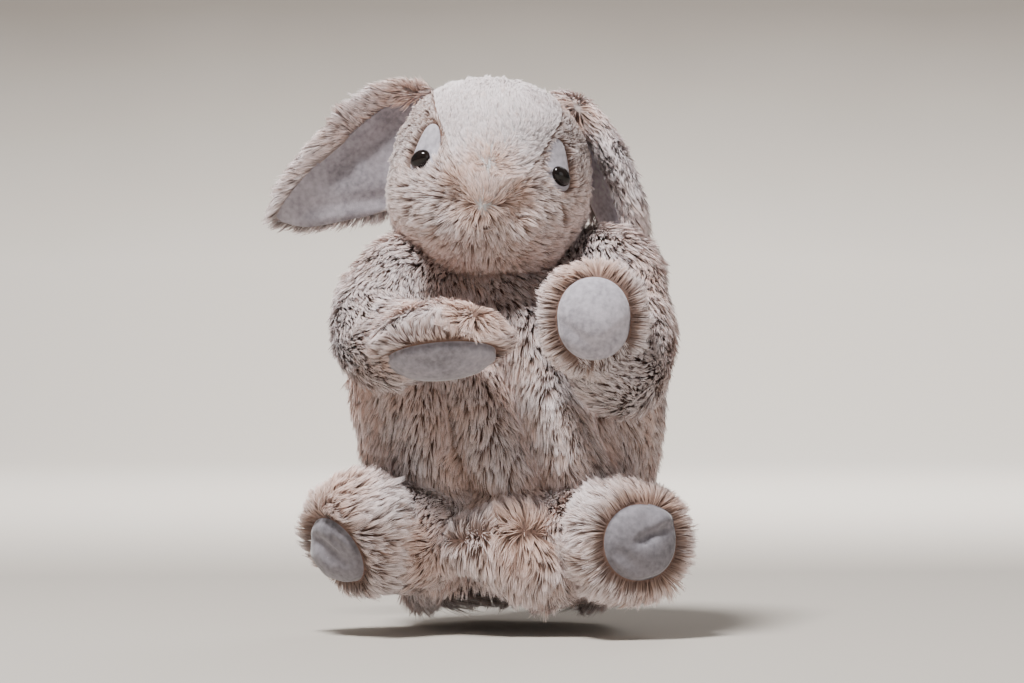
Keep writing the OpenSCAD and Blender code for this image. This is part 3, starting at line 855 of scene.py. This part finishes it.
def hem_surface(rows=160, columns=28):
    """The turned hem: a ring whose section is an ellipse that changes on the way round.

    In front it is pushed up into a hump between the feet, where the cloth is gathered.
    """
    low, high = corners("hem_band")
    turn = np.linspace(0, TAU, rows)[:, None]
    section = np.linspace(0, TAU, columns, endpoint=False)[None, :]
    turn, section = np.broadcast_arrays(turn, section)
    way = np.stack([np.sin(turn), -np.cos(turn), 0 * turn], -1)
    across = way[..., 0] * high[0] / MM
    front = np.clip(np.cos(turn) * 1.6, 0, 1) ** 1.5
    top = through(across, [-52, -40, -22, -3, 12, 28, 50], [26, 34, 40, 48, 44, 31, 23])
    foot_line = through(across, [-52, -40, -22, -8, 10, 28, 50], [10, 11, 26, 16, 9, 12, 11])
    top = 19 + (top - 19) * front
    waves = 2.2 * np.sin(5 * turn) + 1.2 * np.sin(11 * turn)
    foot_line = 6 + (foot_line - 6) * front + waves * (1 - front)
    mid, tall = (top + foot_line) / 2 * MM, (top - foot_line) / 2 * MM
    thick = (5.2 + 5.8 * front) * MM
    ring = high[0] - 5.5 * MM + 4.5 * MM * front
    places = way * (ring + thick * np.cos(section))[..., None]
    places = places + np.stack([0 * mid, 0 * mid, mid + tall * np.sin(section)], -1)
    places = places + 1.2 * MM * ripple(places, 9 * MM, 8)[..., None] * way
    centre = way * ring[..., None] + np.stack([0 * mid, 0 * mid, mid], -1)
    return Surface(places, centre, wrap=True)


def hem_nap(p, n):
    """Outwards and down below the roll's middle, and over the top of it above."""
    level = np.where(n[:, 2] > 0.35, 0.8, -1.0)
    return np.stack([0.5 * ripple(p, 12 * MM, 31), 0 * level, level], -1)


# ---- ears ----


class Ear:
    """An ear as a flattened ring carried along its middle line.

    line is where the middle goes and wide its half widths, both in mm from the middle of the
    ear's CAD piece. up is the way of the ear's width, towards the edge that is rolled over,
    and the lining is on the side that cross(line, up) looks away from or to, by side.
    """

    def __init__(self, side, line, wide, up, curl, roll, furry):
        self.side, self.wide, self.curl, self.roll = side, np.array(wide) * MM, curl * MM, roll * MM
        self.furry = furry
        name = "left" if side > 0 else "right"
        self.line = np.array(line) * MM + middle(name + "_ear_fur")
        self.up = unit(np.array(up, float))

    def spots(self, s, angle, out=0.0):
        """Places at a share s of the ear's length and an angle round its section.

        The section is an ellipse bent forwards at both edges, thicker at the rolled edge.
        """
        at = np.linspace(0, 1, len(self.line))
        flat_s = s[:, 0]
        centre = through(flat_s, at, self.line)
        wide = np.maximum(through(flat_s, np.linspace(0, 1, len(self.wide)), self.wide), 0.6 * MM)
        way = unit(np.gradient(centre, axis=0))
        up = unit(self.up - way * dot(way, self.up[None]))
        face = unit(np.cross(way, up)) * self.side
        c, d = np.cos(angle)[..., None], np.sin(angle)[..., None]
        thick = 2.2 * MM + self.roll * np.maximum(c, 0) ** 2 + out
        thick = thick * np.minimum(wide / (8 * MM), 1)[:, None, None]
        bend = self.curl * (c**2 * (0.55 + 0.45 * c)) * (wide / wide.max())[:, None, None]
        return (
            centre[:, None] + up[:, None] * c * (wide[:, None, None] + out)
            + face[:, None] * (thick * d + bend)
        )

    def grid(self, first, last, rows=70, columns=60, start=0.0, end=1.0, out=0.0):
        s = np.linspace(start, end, rows)[:, None]
        angle = np.radians(np.linspace(first, last, columns))[None, :]
        s, angle = np.broadcast_arrays(s, angle)
        places = self.spots(s, angle, out)
        centre = sum(self.spots(s, np.full_like(angle, way * np.pi / 2)) * 0.5 for way in (-1, 1))
        return Surface(places, centre)

    def nap(self, p, n):
        """Along the ear to its tip, and outwards over its edges."""
        root, tip = self.line[0], self.line[-1]
        middle_line = self.line[len(self.line) // 2]
        return unit(tip - root) + 0.6 * unit(p - middle_line)

    def joint(self):
        """The stretch of the ear from its root to a fifth of its length."""
        at = np.linspace(0, 1, len(self.line))
        return self.line[0], through(np.array([0.24]), at, self.line)[0]


def ear(side):
    """The left ear hangs with its edge to the front; the right one sticks out and droops.
    The last pair are the angles between which the fur goes round; the lining has the rest."""
    if side > 0:
        return Ear(1, [(-29, 1, 34.5), (-18, 1, 28.5), (-8, 0.5, 13.5), (0, 0, -2.5), (7, -0.5, -20.5),
                       (11.5, -1, -38)],
                   [11, 17, 20, 20, 16, 2.5], (0.60, -0.80, 0.05), 6, 6.0, (-206, 74))
    return Ear(-1, [(45, 2, 23), (28, -2, 13), (10, -5, -1), (-8, -6, -11.5), (-23, -5, -21.5),
                    (-34.5, -3, -27.5)],
               [12, 24, 24.5, 18.5, 11.5, 1.5], (-0.60, -0.12, 0.78), 6, 2.2, (-192, 52))


# Velour for the ear linings: a paler copy on the left ear as painted light, a darker copy on the right ear
# as painted shade.
EAR_VELOUR = {1: ("lit_velour", 1.95), -1: ("shaded_ear_velour", 0.90)}
EAR_CREASES = {
    1: [],
    -1: [((-56, 226), (-80, 205), 3.0, -2.2), ((-62, 191), (-96, 186), 3.2, -1.0)],
}


# ---- the stage ----


CAMERA_AT = np.array([-1.8, -1580.0, 124.0]) * MM
LENS = 120.0
FLOOR_Z = -8.5 * MM
BACKDROP_Y, BACKDROP_R = 2.1, 2.0   # where the floor starts to curve up, and its radius


class PUPPET_OT_stage(bpy.types.Operator):
    """Make the pale floor with its curved backdrop, the soft lights and the camera"""

    bl_idname = "puppet.stage"
    bl_label = "Stage"

    def execute(self, context):
        s = np.linspace(0, 1, 60)[:, None]
        x = np.linspace(-5, 5, 12)[None, :]
        bend = np.clip(s * 3 - 1.2, 0, 1) * np.pi / 2
        y = np.where(s < 0.4, -4 + s * (4 + BACKDROP_Y) / 0.4, BACKDROP_Y + BACKDROP_R * np.sin(bend))
        z = np.where(s < 0.4, 0, BACKDROP_R * (1 - np.cos(bend)) + np.maximum(s - 0.7333, 0) * 12)
        y, z, x = np.broadcast_arrays(y, z + FLOOR_Z, x)
        sweep = Surface(np.stack([x, y, z], -1), np.array([0, 0, -50.0]))

        def paper(add, set_on):
            """Pale paper, darker with its height as painted shade of the light falling off, with faint
            clouds.
            """
            height = add("SeparateXYZ", {"Vector": add("TexCoord").outputs["Object"]}).outputs["Z"]
            cloud = add("Math", {0: noise_on_object(add, 3, 2), 1: 0.06}, operation="MULTIPLY")
            fac = add("Math", {0: height, 1: cloud.outputs[0]}, operation="ADD").outputs[0]
            set_on("Base Color", ramp(add, fac, [
                (0.26, (0.500, 0.455, 0.406)), (0.66, (0.175, 0.152, 0.130))]))
            set_on("Roughness", 0.95)

        mesh_object = piece("sweep", sweep.flat, [sweep.quads], finish("studio_paper_with_painted_shade", paper))
        settings = context.scene.puppet_stage
        middle_of_it, wall = (0, 0, 0.12), (0.1, BACKDROP_Y + 1.4, 0.8)
        for name, place, aim, size, power in (
            ("key", (-0.50, -0.70, 1.85), middle_of_it, 0.5, settings.key),
            ("fill", (1.3, -1.6, 0.5), middle_of_it, 1.4, settings.fill),
            ("back", (0.4, 1.0, 1.2), middle_of_it, 0.8, settings.rim),
            ("backdrop", (0.3, 1.0, 1.7), wall, 1.8, settings.backdrop),
        ):
            light = bpy.data.lights.new(name, "AREA")
            light.energy, light.size, light.shape = power, size, "DISK"
            lamp = bpy.data.objects.new(name, light)
            lamp.location = place
            from_it = Vector(np.array(aim) - np.array(place))
            lamp.rotation_euler = from_it.to_track_quat("-Z", "Y").to_euler()
            context.scene.collection.objects.link(lamp)
        world = bpy.data.worlds.new("studio")
        world.use_nodes = True
        sky = world.node_tree.nodes["Background"]
        sky.inputs["Color"].default_value = (1.0, 0.975, 0.95, 1)
        sky.inputs["Strength"].default_value = settings.ambient
        context.scene.world = world
        camera = bpy.data.cameras.new("camera")
        camera.lens, camera.sensor_width = LENS, 36
        viewer = bpy.data.objects.new("camera", camera)
        viewer.location = CAMERA_AT
        viewer.rotation_euler = (np.pi / 2, 0, 0)
        context.scene.collection.objects.link(viewer)
        context.scene.camera = viewer
        return {"FINISHED"}


# ---- the pieces ----

BODY_PILE = Pile(9.0, 0.48, 2.9, 0.58, width=0.40)
SLEEVE_PILE = Pile(8.5, 0.50, 2.3, 0.55, per_mm2=3.4, width=0.38)
BACK_PILE = Pile(9.0, 0.48, 3.2, 0.60, per_mm2=2.3, width=0.46)
HEM_PILE = Pile(10.5, 0.56, 3.8, 0.60, 0.45, 3.0, 0.40)
BROW_PILE = Pile(7.5, 0.50, 2.1, 0.45, 0.30, 5.2, 0.30)
CHEEK_PILE = Pile(7.5, 0.44, 2.5, 0.54, 0.35, 4.0, 0.34)
EAR_PILE = Pile(8.0, 0.50, 2.6, 0.50, per_mm2=3.6, width=0.40)
PAW_PILE = Pile(8.0, 0.52, 3.0, 0.56, per_mm2=3.4, width=0.38)
FOOT_PILE = Pile(9.5, 0.55, 3.4, 0.58, 0.42, 3.2, 0.40)


class Maker:
    """What the piece operators share."""

    bl_options = {"REGISTER", "UNDO"}

    def execute(self, context):
        self.make()
        return {"FINISHED"}


class PUPPET_OT_glove(Maker, bpy.types.Operator):
    """Make the front and back of the glove body with their pile"""

    bl_idname = "puppet.glove"
    bl_label = "Glove body"

    def make(self):
        for front, name in ((True, "body_front"), (False, "body_back")):
            skin = glove_half(front, 2.5 * MM, 6 * MM)
            panel = cloth(name + "_cloth", skin, 1.0 * MM, backing_finish())
            placed(panel, name + "_panel", "glove")
            flat = (0.20, 0.15)
            halves = (("_left", 1), ("_right", -1)) if front else (("", 0),)
            hairs = []
            for half, way in halves:
                hairs.append(pile(name + half + "_pile", [blades(
                    skin, BODY_PILE if front else BACK_PILE, glove_nap, glove_tint_and_fold_shading, 10 + front + way,
                    lambda p, way=way: way * (p[:, 0] + 4 * MM) >= 0)]))
                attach(hairs[-1], "glove")
            min(skin.area(), 0.98 * flat[0] * flat[1])


class PUPPET_OT_lining(Maker, bpy.types.Operator):
    """Make the lining inside the glove body and the finger pocket inside the head"""

    bl_idname = "puppet.lining"
    bl_label = "Lining"

    def make(self):
        for front, name in ((True, "lining_front"), (False, "lining_back")):
            skin = glove_half(front, 7.5 * MM, 0.0, 70, 90)
            lift = 0.5 * MM * ripple(skin.flat, 7 * MM, 60 + front)[:, None]
            skin.flat = skin.flat + skin.normals * lift
            made = cloth(name + "_cloth", skin, 0.6 * MM, lining_finish())
            placed(made, name, "glove")
            min(skin.area(), 0.0265)
        low, high = corners("head_finger_pocket")
        centre = (low + high) / 2 / MM
        radius = (high[0] - low[0]) / 2 / MM - 0.5
        heights = [low[2] / MM, low[2] / MM + 20, high[2] / MM - 8, high[2] / MM - 2.5, high[2] / MM - 0.6]
        line = [(centre[0], centre[1], z) for z in heights]
        skin = tube(line, [radius, radius, radius * 0.97, radius * 0.7, 0.4], 50, 48)
        skin.flat = skin.flat + skin.normals * 0.3 * MM * ripple(skin.flat, 6 * MM, 63)[:, None]
        made = cloth("finger_pocket_cloth", skin, 0.6 * MM, lining_finish())
        placed(made, "head_finger_pocket", "head")


class PUPPET_OT_hem(Maker, bpy.types.Operator):
    """Make the thick turned hem round the wrist opening, and the tail"""

    bl_idname = "puppet.hem"
    bl_label = "Hem and tail"

    def make(self):
        skin = hem_surface()
        roll = shell("hem_band_cloth", skin, backing_finish())
        placed(roll, "hem_band", "glove")

        def outside(p):
            return np.linalg.norm(p[:, :2], axis=1) > corners("hem_band")[1][0] - 8 * MM

        shade = mottled(0.74, 0.2, 11, 33)
        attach(pile("hem_pile", [blades(skin, HEM_PILE, hem_nap, shade, 30, outside)]), "glove")
        centre, half = middle("tail"), half_size("tail")
        away = np.linspace(0.01, np.pi - 0.01, 40)[:, None]
        turn = np.linspace(0, TAU, 48, endpoint=False)[None, :]
        ways = np.stack([
            np.sin(away) * np.cos(turn), np.cos(away) + 0 * turn, np.sin(away) * np.sin(turn)], -1)
        ball = Surface(centre + ways * (half - 2 * MM), centre, wrap=True)
        bob = shell("tail_cloth", ball, backing_finish("pale_backing", 6.0))
        placed(bob, "tail", "glove")
        root = centre - [0, half[1], 0]
        hair = blades(ball, HEM_PILE, lambda p, n: unit(p - root), mottled(0.75, 0.1, 8, 35), 36)
        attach(pile("tail_pile", [hair], "face_fur"), "glove")


class PUPPET_OT_head(Maker, bpy.types.Operator):
    """Make the forehead gusset, both cheeks with their pile, and the stuffing"""

    bl_idname = "puppet.head"
    bl_label = "Head"

    def make(self):
        def chin(p):
            """Painted shade under the chin: how far the pile's tint drops there, which makes it browner.
            """
            return 0.42 * np.clip((-head_ways(p)[:, 2] - 0.48) / 0.25, 0, 1)

        def cheek_tint_and_chin_shade(p, n):
            return 0.76 - chin(p) + 0.22 * ripple(p, 12 * MM, 42)

        def brow_tint_and_chin_shade(p, n):
            bridge = np.clip(1 - np.linalg.norm(head_ways(p) - MUZZLE_WAY, axis=1) / 0.8, 0, 1)
            return 0.99 - 0.62 * bridge - chin(p) + 0.06 * ripple(p, 10 * MM, 44)

        def length(p):
            """Half as long on the forehead as on the cheeks, and even across the seams."""
            return 1 - 0.52 * np.clip((head_ways(p)[:, 2] + 0.30) / 0.50, 0, 1)

        half = bpy.context.scene.puppet_head.gusset / 2
        panels = (
            ("forehead_gusset", 90 - half, 90 + half, BROW_PILE, brow_tint_and_chin_shade, 50, "face_fur"),
            ("left_cheek", -90, 90 - half, CHEEK_PILE, cheek_tint_and_chin_shade, 51, "fur"),
            ("right_cheek", 90 + half, 270, CHEEK_PILE, cheek_tint_and_chin_shade, 52, "fur"),
        )
        for name, first, last, style, shade, seed, slot in panels:
            skin = head_panel(first, last)
            backing = backing_finish() if slot == "fur" else backing_finish("pale_backing", 6.0)
            panel = cloth(name + "_cloth", skin, 1.0 * MM, backing)
            placed(panel, name if name == "forehead_gusset" else name + "_panel", "head")
            hair = pile(name + "_pile", [blades(
                skin, style, face_nap, shade, seed, off_patches, length)], slot)
            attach(hair, "head")
        stuffing("head_filling", "head", head_panel(0, 360, 60, 80, 4.0 * MM))


def stuffing(node, body, surface):
    """Wadding inside a skin: the surface with soft lumps pressed into it."""
    lumps = 1 + ripple(surface.flat, 7 * MM, 77)[:, None]
    surface.flat = surface.flat - surface.normals * lumps * MM * 0.8
    placed(shell(node + "_wadding", surface, plain_finish("wadding")), node, body)


class PUPPET_OT_neck(Maker, bpy.types.Operator):
    """Make the gathered neck between the glove and the head"""

    bl_idname = "puppet.neck"
    bl_label = "Neck"

    def make(self):
        centre = neck_place() / MM
        line = [centre + [0, -1, z] for z in (-14, -4, 4, 14)]
        radii = [24, 21, 21, 26]
        for name, start, end, bodies in (
            ("neck_lower", 0.0, 0.5, ("glove", "neck")), ("neck_upper", 0.5, 1.0, ("neck", "head")),
        ):
            skin = tube(line, radii, 24, 64, start, end)
            places = [skin.points[0].mean(0), skin.points[-1].mean(0)]
            places.sort(key=lambda place: place[2])
            made = cloth(name + "_cloth", skin, 1.0 * MM, backing_finish())
            hair = pile(name + "_pile", [blades(skin, BODY_PILE, lambda p, n: DOWN, glove_tint_and_fold_shading, 70)])
            for part in (made, hair):
                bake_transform(part)
            if name == "neck_lower":
                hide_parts("neck_gather")


class PUPPET_OT_eyes(Maker, bpy.types.Operator):
    """Make the glossy eyes, their velour patches and the stitched mouth"""

    bl_idname = "puppet.eyes"
    bl_label = "Eyes and mouth"

    def make(self):
        for side, name in ((1, "left"), (-1, "right")):
            way, up, across = eye_frame(side)
            ring = np.linspace(0, TAU, 64, endpoint=False)[None, :]
            share = np.linspace(0.002, 1, 30)[:, None]
            edge = patch_edge(ring)
            ways = unit(way + (across * (share * edge[0])[..., None] + up * (share * edge[1])[..., None])
                        / (head_reach(way[None])[0] / MM))
            crown = (1 - share**3) * 1.3 * MM + 1.0 * MM
            skin = Surface(head_spots(ways, crown + 0 * ring), head_middle(), wrap=True)
            patch = cloth(name + "_eye_patch_cloth", skin, 0.8 * MM, velour_finish())
            placed(patch, name + "_eye_patch", "head")
            self.eye(side, name, way, up, across)
            washer = frame["nodes"][name + "_eye_washer"].data.materials
            washer.clear()
            washer.append(plain_finish("satin_nylon"))
        self.mouth()

    def eye(self, side, name, way, up, across):
        """A dome over an oval, on a shank: the oval's two half sizes times a quarter ellipse,
        then a flat underside and a thin stem."""
        settings = bpy.context.scene.puppet_head
        wide, tall, rise = settings.eye_width / 2, settings.eye_width * 0.37, 3.6 * MM
        sight = unit(way)
        base = head_spots(sight[None])[0] + (sight * 2.9 * MM) @ HEAD_TURN.T
        slant = np.radians(28) * side
        u = across * side * np.cos(slant) - up * np.sin(slant)
        v = across * side * np.sin(slant) + up * np.cos(slant)
        profile = [(0.001, 1.0)] + [(np.sin(a), np.cos(a)) for a in np.linspace(0.12, np.pi / 2, 16)]
        profile += [(0.98, -0.10), (0.90, -0.22), (0.36, -0.26), (0.34, -1.6), (0.33, -4.2), (0.001, -4.3)]
        profile = np.array(profile)
        ring = np.linspace(0, TAU, 56, endpoint=False)
        oval = np.stack([np.cos(ring) * wide, np.sin(ring) * tall], -1)
        stem = np.stack([np.cos(ring), np.sin(ring)], -1) * 0.5 * tall * 0.8
        stem_share = np.clip((-profile[:, 1:2] - 0.22) / 0.04, 0, 1)[..., None]
        flat = profile[:, :1, None] * oval * (1 - stem_share)
        flat = flat + profile[:, :1, None] * stem * 2 * stem_share
        local = (
            flat[..., :1] * u + flat[..., 1:] * v
            + (profile[:, 1] * rise)[:, None, None] * sight
        )
        dome = Surface(local @ HEAD_TURN.T + base, base - sight * 0.001, wrap=True)
        made = shell(name + "_eye_dome", dome, eye_finish())
        placed(made, name + "_eye", "head")

    def mouth(self):
        """A thread that curves under the nose and lies on the pile: an arc on the head."""
        s = np.linspace(-1, 1, 40)
        right = np.array([1.0, 0, 0])
        top = np.cross(right, -MUZZLE_WAY)
        top = top * np.sign(top[2])
        ways = unit(MUZZLE_WAY + right * (s * 0.085)[:, None] + top * (-0.085 + 0.03 * s**2)[:, None])
        line = head_spots(ways, 3.6 * MM)
        way = unit(np.gradient(line, axis=0))
        side = unit(np.cross(way, ways @ HEAD_TURN.T))
        other = np.cross(way, side)
        ring = np.linspace(0, TAU, 12, endpoint=False)[None, :, None]
        thick = (0.5 * MM * np.sqrt(np.maximum(1 - s**8, 0.001)))[:, None, None]
        round_it = side[:, None] * np.cos(ring) + other[:, None] * np.sin(ring)
        skin = Surface(line[:, None] + round_it * thick, line[:, None], wrap=True)
        placed(shell("mouth_thread", skin, plain_finish("pale_thread")), "mouth_stitch", "head")


class PUPPET_OT_ears(Maker, bpy.types.Operator):
    """Make both ears: pile outside and over the rolled edge, velour inside"""

    bl_idname = "puppet.ears"
    bl_label = "Ears"

    def make(self):
        for side, name in ((1, "left_ear"), (-1, "right_ear")):
            shape = ear(side)
            start, end = shape.joint()
            skin = shape.grid(*shape.furry)
            back = cloth(name + "_cloth", skin, 0.8 * MM, backing_finish("ear_backing", 2.6))
            hair = blades(skin, EAR_PILE, shape.nap, mottled(0.80, 0.2, 10, 91), 90 + side)
            hair = pile(name + "_pile", [hair], ear=True)
            inner = shape.grid(shape.furry[1] - 4, 360 + shape.furry[0] + 4, out=0.3 * MM)
            lift = 0.7 * MM * ripple(inner.flat, 11 * MM, 95)[:, None]
            inner.flat = inner.flat + inner.normals * lift
            pressed(inner, EAR_CREASES[side], 4)
            velour = velour_finish(*EAR_VELOUR[side])
            lining = cloth(name + "_lining_cloth", inner, 0.7 * MM, velour)
            for part in (back, hair, lining):
                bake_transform(part)
            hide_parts(name + "_fur")
            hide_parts(name + "_lining")
            min(max(inner.area(), 0.0015), 0.0042)


ARM_LINES = {
    1: ([(18, 4, 152), (42, -10, 157), (50, -28, 136), (50.5, -43, 116), (45, -56, 111), (37, -62, 122),
         (34, -62, 132)], [13, 17, 17, 17.5, 16, 14, 10]),
    -1: ([(-28, 4, 150), (-47, -12, 153), (-59, -27, 142), (-62, -41, 128), (-56, -51, 123),
          (-46, -54, 126), (-38, -56, 128)], [13, 18, 18.5, 18, 16, 13, 9]),
}
ELBOW_AT = 0.56


class PUPPET_OT_arms(Maker, bpy.types.Operator):
    """Make both arms: sleeves in two stretches, stuffed paws, palm pads"""

    bl_idname = "puppet.arms"
    bl_label = "Arms and paws"

    def make(self):
        for side, name in ((1, "left"), (-1, "right")):
            line, radii = ARM_LINES[side]
            tint = mottled(0.68, 0.26, 12, 101)
            stretches = (
                ("_sleeve", 0.0, ELBOW_AT, ("glove", name + "_arm"), (0.12, 0.36)),
                ("_forearm", ELBOW_AT, 1.0, (name + "_arm", name + "_hand"), (0.56, 0.80)),
            )
            for part, first, last, bodies, bends in stretches:
                skin = tube(line, radii, 50, 56, first, last)
                skin.flat = skin.flat + skin.normals * 1.3 * MM * ripple(skin.flat, 12 * MM, 103)[:, None]
                made = cloth(name + part + "_cloth", skin, 1.0 * MM, backing_finish())

                def nap(p, n, line=np.array(line, float) * MM):
                    nearest = np.linalg.norm(p[:, None] - line[None], axis=2).argmin(1)
                    nearest = np.clip(nearest, 0, len(line) - 2)
                    return unit(line[nearest + 1] - line[nearest]) + 0.4 * DOWN

                hair = pile(name + part + "_pile", [blades(skin, SLEEVE_PILE, nap, tint, 110 + side)])
                for each in (made, hair):
                    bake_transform(each)
                if part == "_sleeve":
                    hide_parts(name + "_sleeve")
            self.hand(side, name, paw(side))

    def hand(self, side, name, shape):
        body = name + "_hand"
        skin = shape.skin()
        made = shell(name + "_paw_cloth", skin, backing_finish())
        placed(made, name + "_paw", body)
        hair = blades(skin, PAW_PILE, shape.nap, mottled(0.76, 0.16, 10, 121), 120 + side)
        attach(pile(name + "_paw_pile", [hair]), body)
        # The right palm pad gets a darker copy of the velour: painted shade.
        nap_finish = velour_finish() if side > 0 else velour_finish("shaded_palm_velour", 0.66)
        panel = pressed(shape.panel(), PAD_CREASES[side], 4)
        pad = shell(name + "_palm_pad_cloth", panel, nap_finish)
        placed(pad, name + "_palm_pad", body)
        stuffing(name + "_paw_filling", body, shape.grid(0.01, np.pi - 0.01, 40, 48, -4 * MM))


# Where each palm pad is creased, as lines in x and z.
PAD_CREASES = {
    1: [((22, 130), (30, 124), 2.0, -0.8), ((40, 124), (48, 130), 2.0, -0.7)],
    -1: [((-48, 116), (-30, 113), 1.6, -0.9), ((-28, 117), (-16, 114), 1.6, -0.8)],
}
# Where each sole is creased and where its toes stand out, as lines in x and z.
SOLE_CREASES = {
    1: [((57, 37), (65, 40.5), 1.6, -2.4), ((64, 45), (68, 46), 3.4, 1.8), ((58, 45), (60, 38), 1.5, -1.3),
        ((46, 30), (58, 22), 2.5, -1.0)],
    -1: [((-88, 34), (-78, 26), 1.9, -2.6), ((-89, 28), (-84, 22), 3.2, 2.0),
         ((-80, 34), (-74, 28), 1.6, -1.4)],
}


class PUPPET_OT_feet(Maker, bpy.types.Operator):
    """Make both feet: the gathered legs, the stuffed feet and their soles"""

    bl_idname = "puppet.feet"
    bl_label = "Legs and feet"

    def make(self):
        for side, name in ((1, "left"), (-1, "right")):
            shape = foot(side)
            body = name + "_leg"
            hip = pivot(name + "_hip")
            out = unit((shape.middle - hip) * [1, 1, 0])
            root, end = hip - out * 16 * MM, shape.middle - out * 8 * MM
            line = [root / MM, (hip - out * 4 * MM) / MM, (hip + out * 6 * MM) / MM, end / MM]
            skin = tube(line, [19, 21, 22, 20], 30, 56)
            leg = cloth(name + "_leg_cloth", skin, 1.0 * MM, backing_finish())
            shade = mottled(0.76, 0.18, 11, 131)
            hair = blades(skin, PAW_PILE, lambda p, n: out + 0.5 * DOWN, shade, 130 + side)
            for each in (leg, pile(name + "_leg_pile", [hair])):
                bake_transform(each)
            skin = shape.skin()
            made = shell(name + "_foot_cloth", skin, backing_finish())
            placed(made, name + "_foot", body)
            hair = blades(skin, FOOT_PILE, shape.nap, shade, 135 + side)
            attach(pile(name + "_foot_pile", [hair]), body)
            # The soles get a darker copy of the velour: painted shade.
            sole = shell(name + "_sole_cloth", pressed(shape.panel(), SOLE_CREASES[side], 3),
                         velour_finish("shaded_sole_velour", 0.46))
            placed(sole, name + "_sole", body)
            stuffing(name + "_foot_filling", body, shape.grid(0.01, np.pi - 0.01, 40, 48, -4 * MM))


# ---- the add-on ----


def colour(name, description, default):
    return bpy.props.FloatVectorProperty(
        name=name, description=description, subtype="COLOR", default=default)


def power(name, description, default):
    return bpy.props.FloatProperty(name=name, description=description, default=default)


class PuppetPile(bpy.types.PropertyGroup):
    density: bpy.props.FloatProperty(
        name="Density", description="Share of the full number of blades",
        default=1.0, min=0.05, max=1.5)
    # The dark root is the pile's own root colour and also painted shade deep between the blades; the knit
    # backing uses it too.
    root_colour: colour("Root", "Colour at the root of the pile", (0.135, 0.078, 0.060))
    under_colour: colour("Undercolour", "Warm colour below the tips", (0.56, 0.34, 0.25))
    tip_colour: colour("Tips", "Colour of the pale tips", (0.94, 0.86, 0.87))


class PuppetVelour(bpy.types.PropertyGroup):
    colour: colour("Velour", "Colour of the smooth pads and linings", (0.44, 0.405, 0.45))


class PuppetHead(bpy.types.PropertyGroup):
    gusset: bpy.props.FloatProperty(
        name="Gusset", description="Width of the middle panel as an angle in degrees",
        default=76.0, min=40, max=110)
    eye_width: bpy.props.FloatProperty(
        name="Eye width", description="Width of an eye", default=11.0 * MM, unit="LENGTH")


class PuppetStage(bpy.types.PropertyGroup):
    key: power("Key", "Power of the main light", 82.0)
    fill: power("Fill", "Power of the fill light", 7.0)
    rim: power("Rim", "Power of the light from behind", 6.0)
    backdrop: power("Backdrop", "Power of the light on the backdrop", 185.0)
    ambient: bpy.props.FloatProperty(
        name="Ambient", description="Strength of the light all round", default=0.22)


PIECE_MAKERS = (
    PUPPET_OT_glove, PUPPET_OT_lining, PUPPET_OT_hem, PUPPET_OT_head, PUPPET_OT_neck,
    PUPPET_OT_eyes, PUPPET_OT_ears, PUPPET_OT_arms, PUPPET_OT_feet,
)


class PUPPET_PT_sidebar(bpy.types.Panel):
    """Buttons that make the puppet's pieces, and its sizes and colours"""

    bl_label = "Plush hand puppet"
    bl_idname = "PUPPET_PT_sidebar"
    bl_space_type = "VIEW_3D"
    bl_region_type = "UI"
    bl_category = "Puppet"

    def draw(self, context):
        for group in GROUPS.values():
            settings = getattr(context.scene, group)
            for name in settings.bl_rna.properties.keys():
                if name not in ("rna_type", "name"):
                    self.layout.prop(settings, name)
        for maker in (PUPPET_OT_stage, *PIECE_MAKERS):
            self.layout.operator(maker.bl_idname)


GROUPS = {
    PuppetPile: "puppet_pile", PuppetVelour: "puppet_velour",
    PuppetHead: "puppet_head", PuppetStage: "puppet_stage",
}
CLASSES = (*GROUPS, PUPPET_OT_stage, *PIECE_MAKERS, PUPPET_PT_sidebar)


def register():
    for each in CLASSES:
        bpy.utils.register_class(each)
    for group, name in GROUPS.items():
        setattr(bpy.types.Scene, name, bpy.props.PointerProperty(type=group))


def unregister():
    for name in GROUPS.values():
        delattr(bpy.types.Scene, name)
    for each in reversed(CLASSES):
        bpy.utils.unregister_class(each)


def partings():
    """Where the pile parts and its warm undercolour shows: at the ears' roots, beside the
    nose, on the paws, sleeves and feet, and on the hem's hump."""
    head = head_middle()
    spots = [(head + np.array(place) * MM, width) for place, width in (
        ((-36, 18, 40), 9), ((40, -6, 32), 8), ((-9, -51, -14), 5.5), ((9, -51, -17), 5), ((0, -46, 6), 7),
        ((-14, -49, -2), 4), ((12, -50, -8), 4),
    )]
    for side in (1, -1):
        shape = foot(side)
        spots.append((shape.middle + np.array([side * 14, -14, 24]) * MM, 12))
    spots += [
        (paw(1).middle + np.array([0, -10, 23]) * MM, 10),
        (paw(-1).middle + np.array([15, -6, 14]) * MM, 10),
        (middle("right_sleeve") + np.array([12, -30, -2]) * MM, 8),
        (middle("hem_band") + np.array([3, -57, 30]) * MM, 10),
        (middle("hem_band") + np.array([-42, -46, 22]) * MM, 9),
        (middle("body_front_panel") + np.array([-30, -24, 12]) * MM, 8),
    ]
    for place, width in spots:
        parting(place, width)


def main():
    register()
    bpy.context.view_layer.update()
    bpy.ops.puppet.stage()
    partings()
    for maker in PIECE_MAKERS:
        getattr(bpy.ops.puppet, maker.bl_idname.split(".")[1])()


if __name__ == "__main__":
    main()
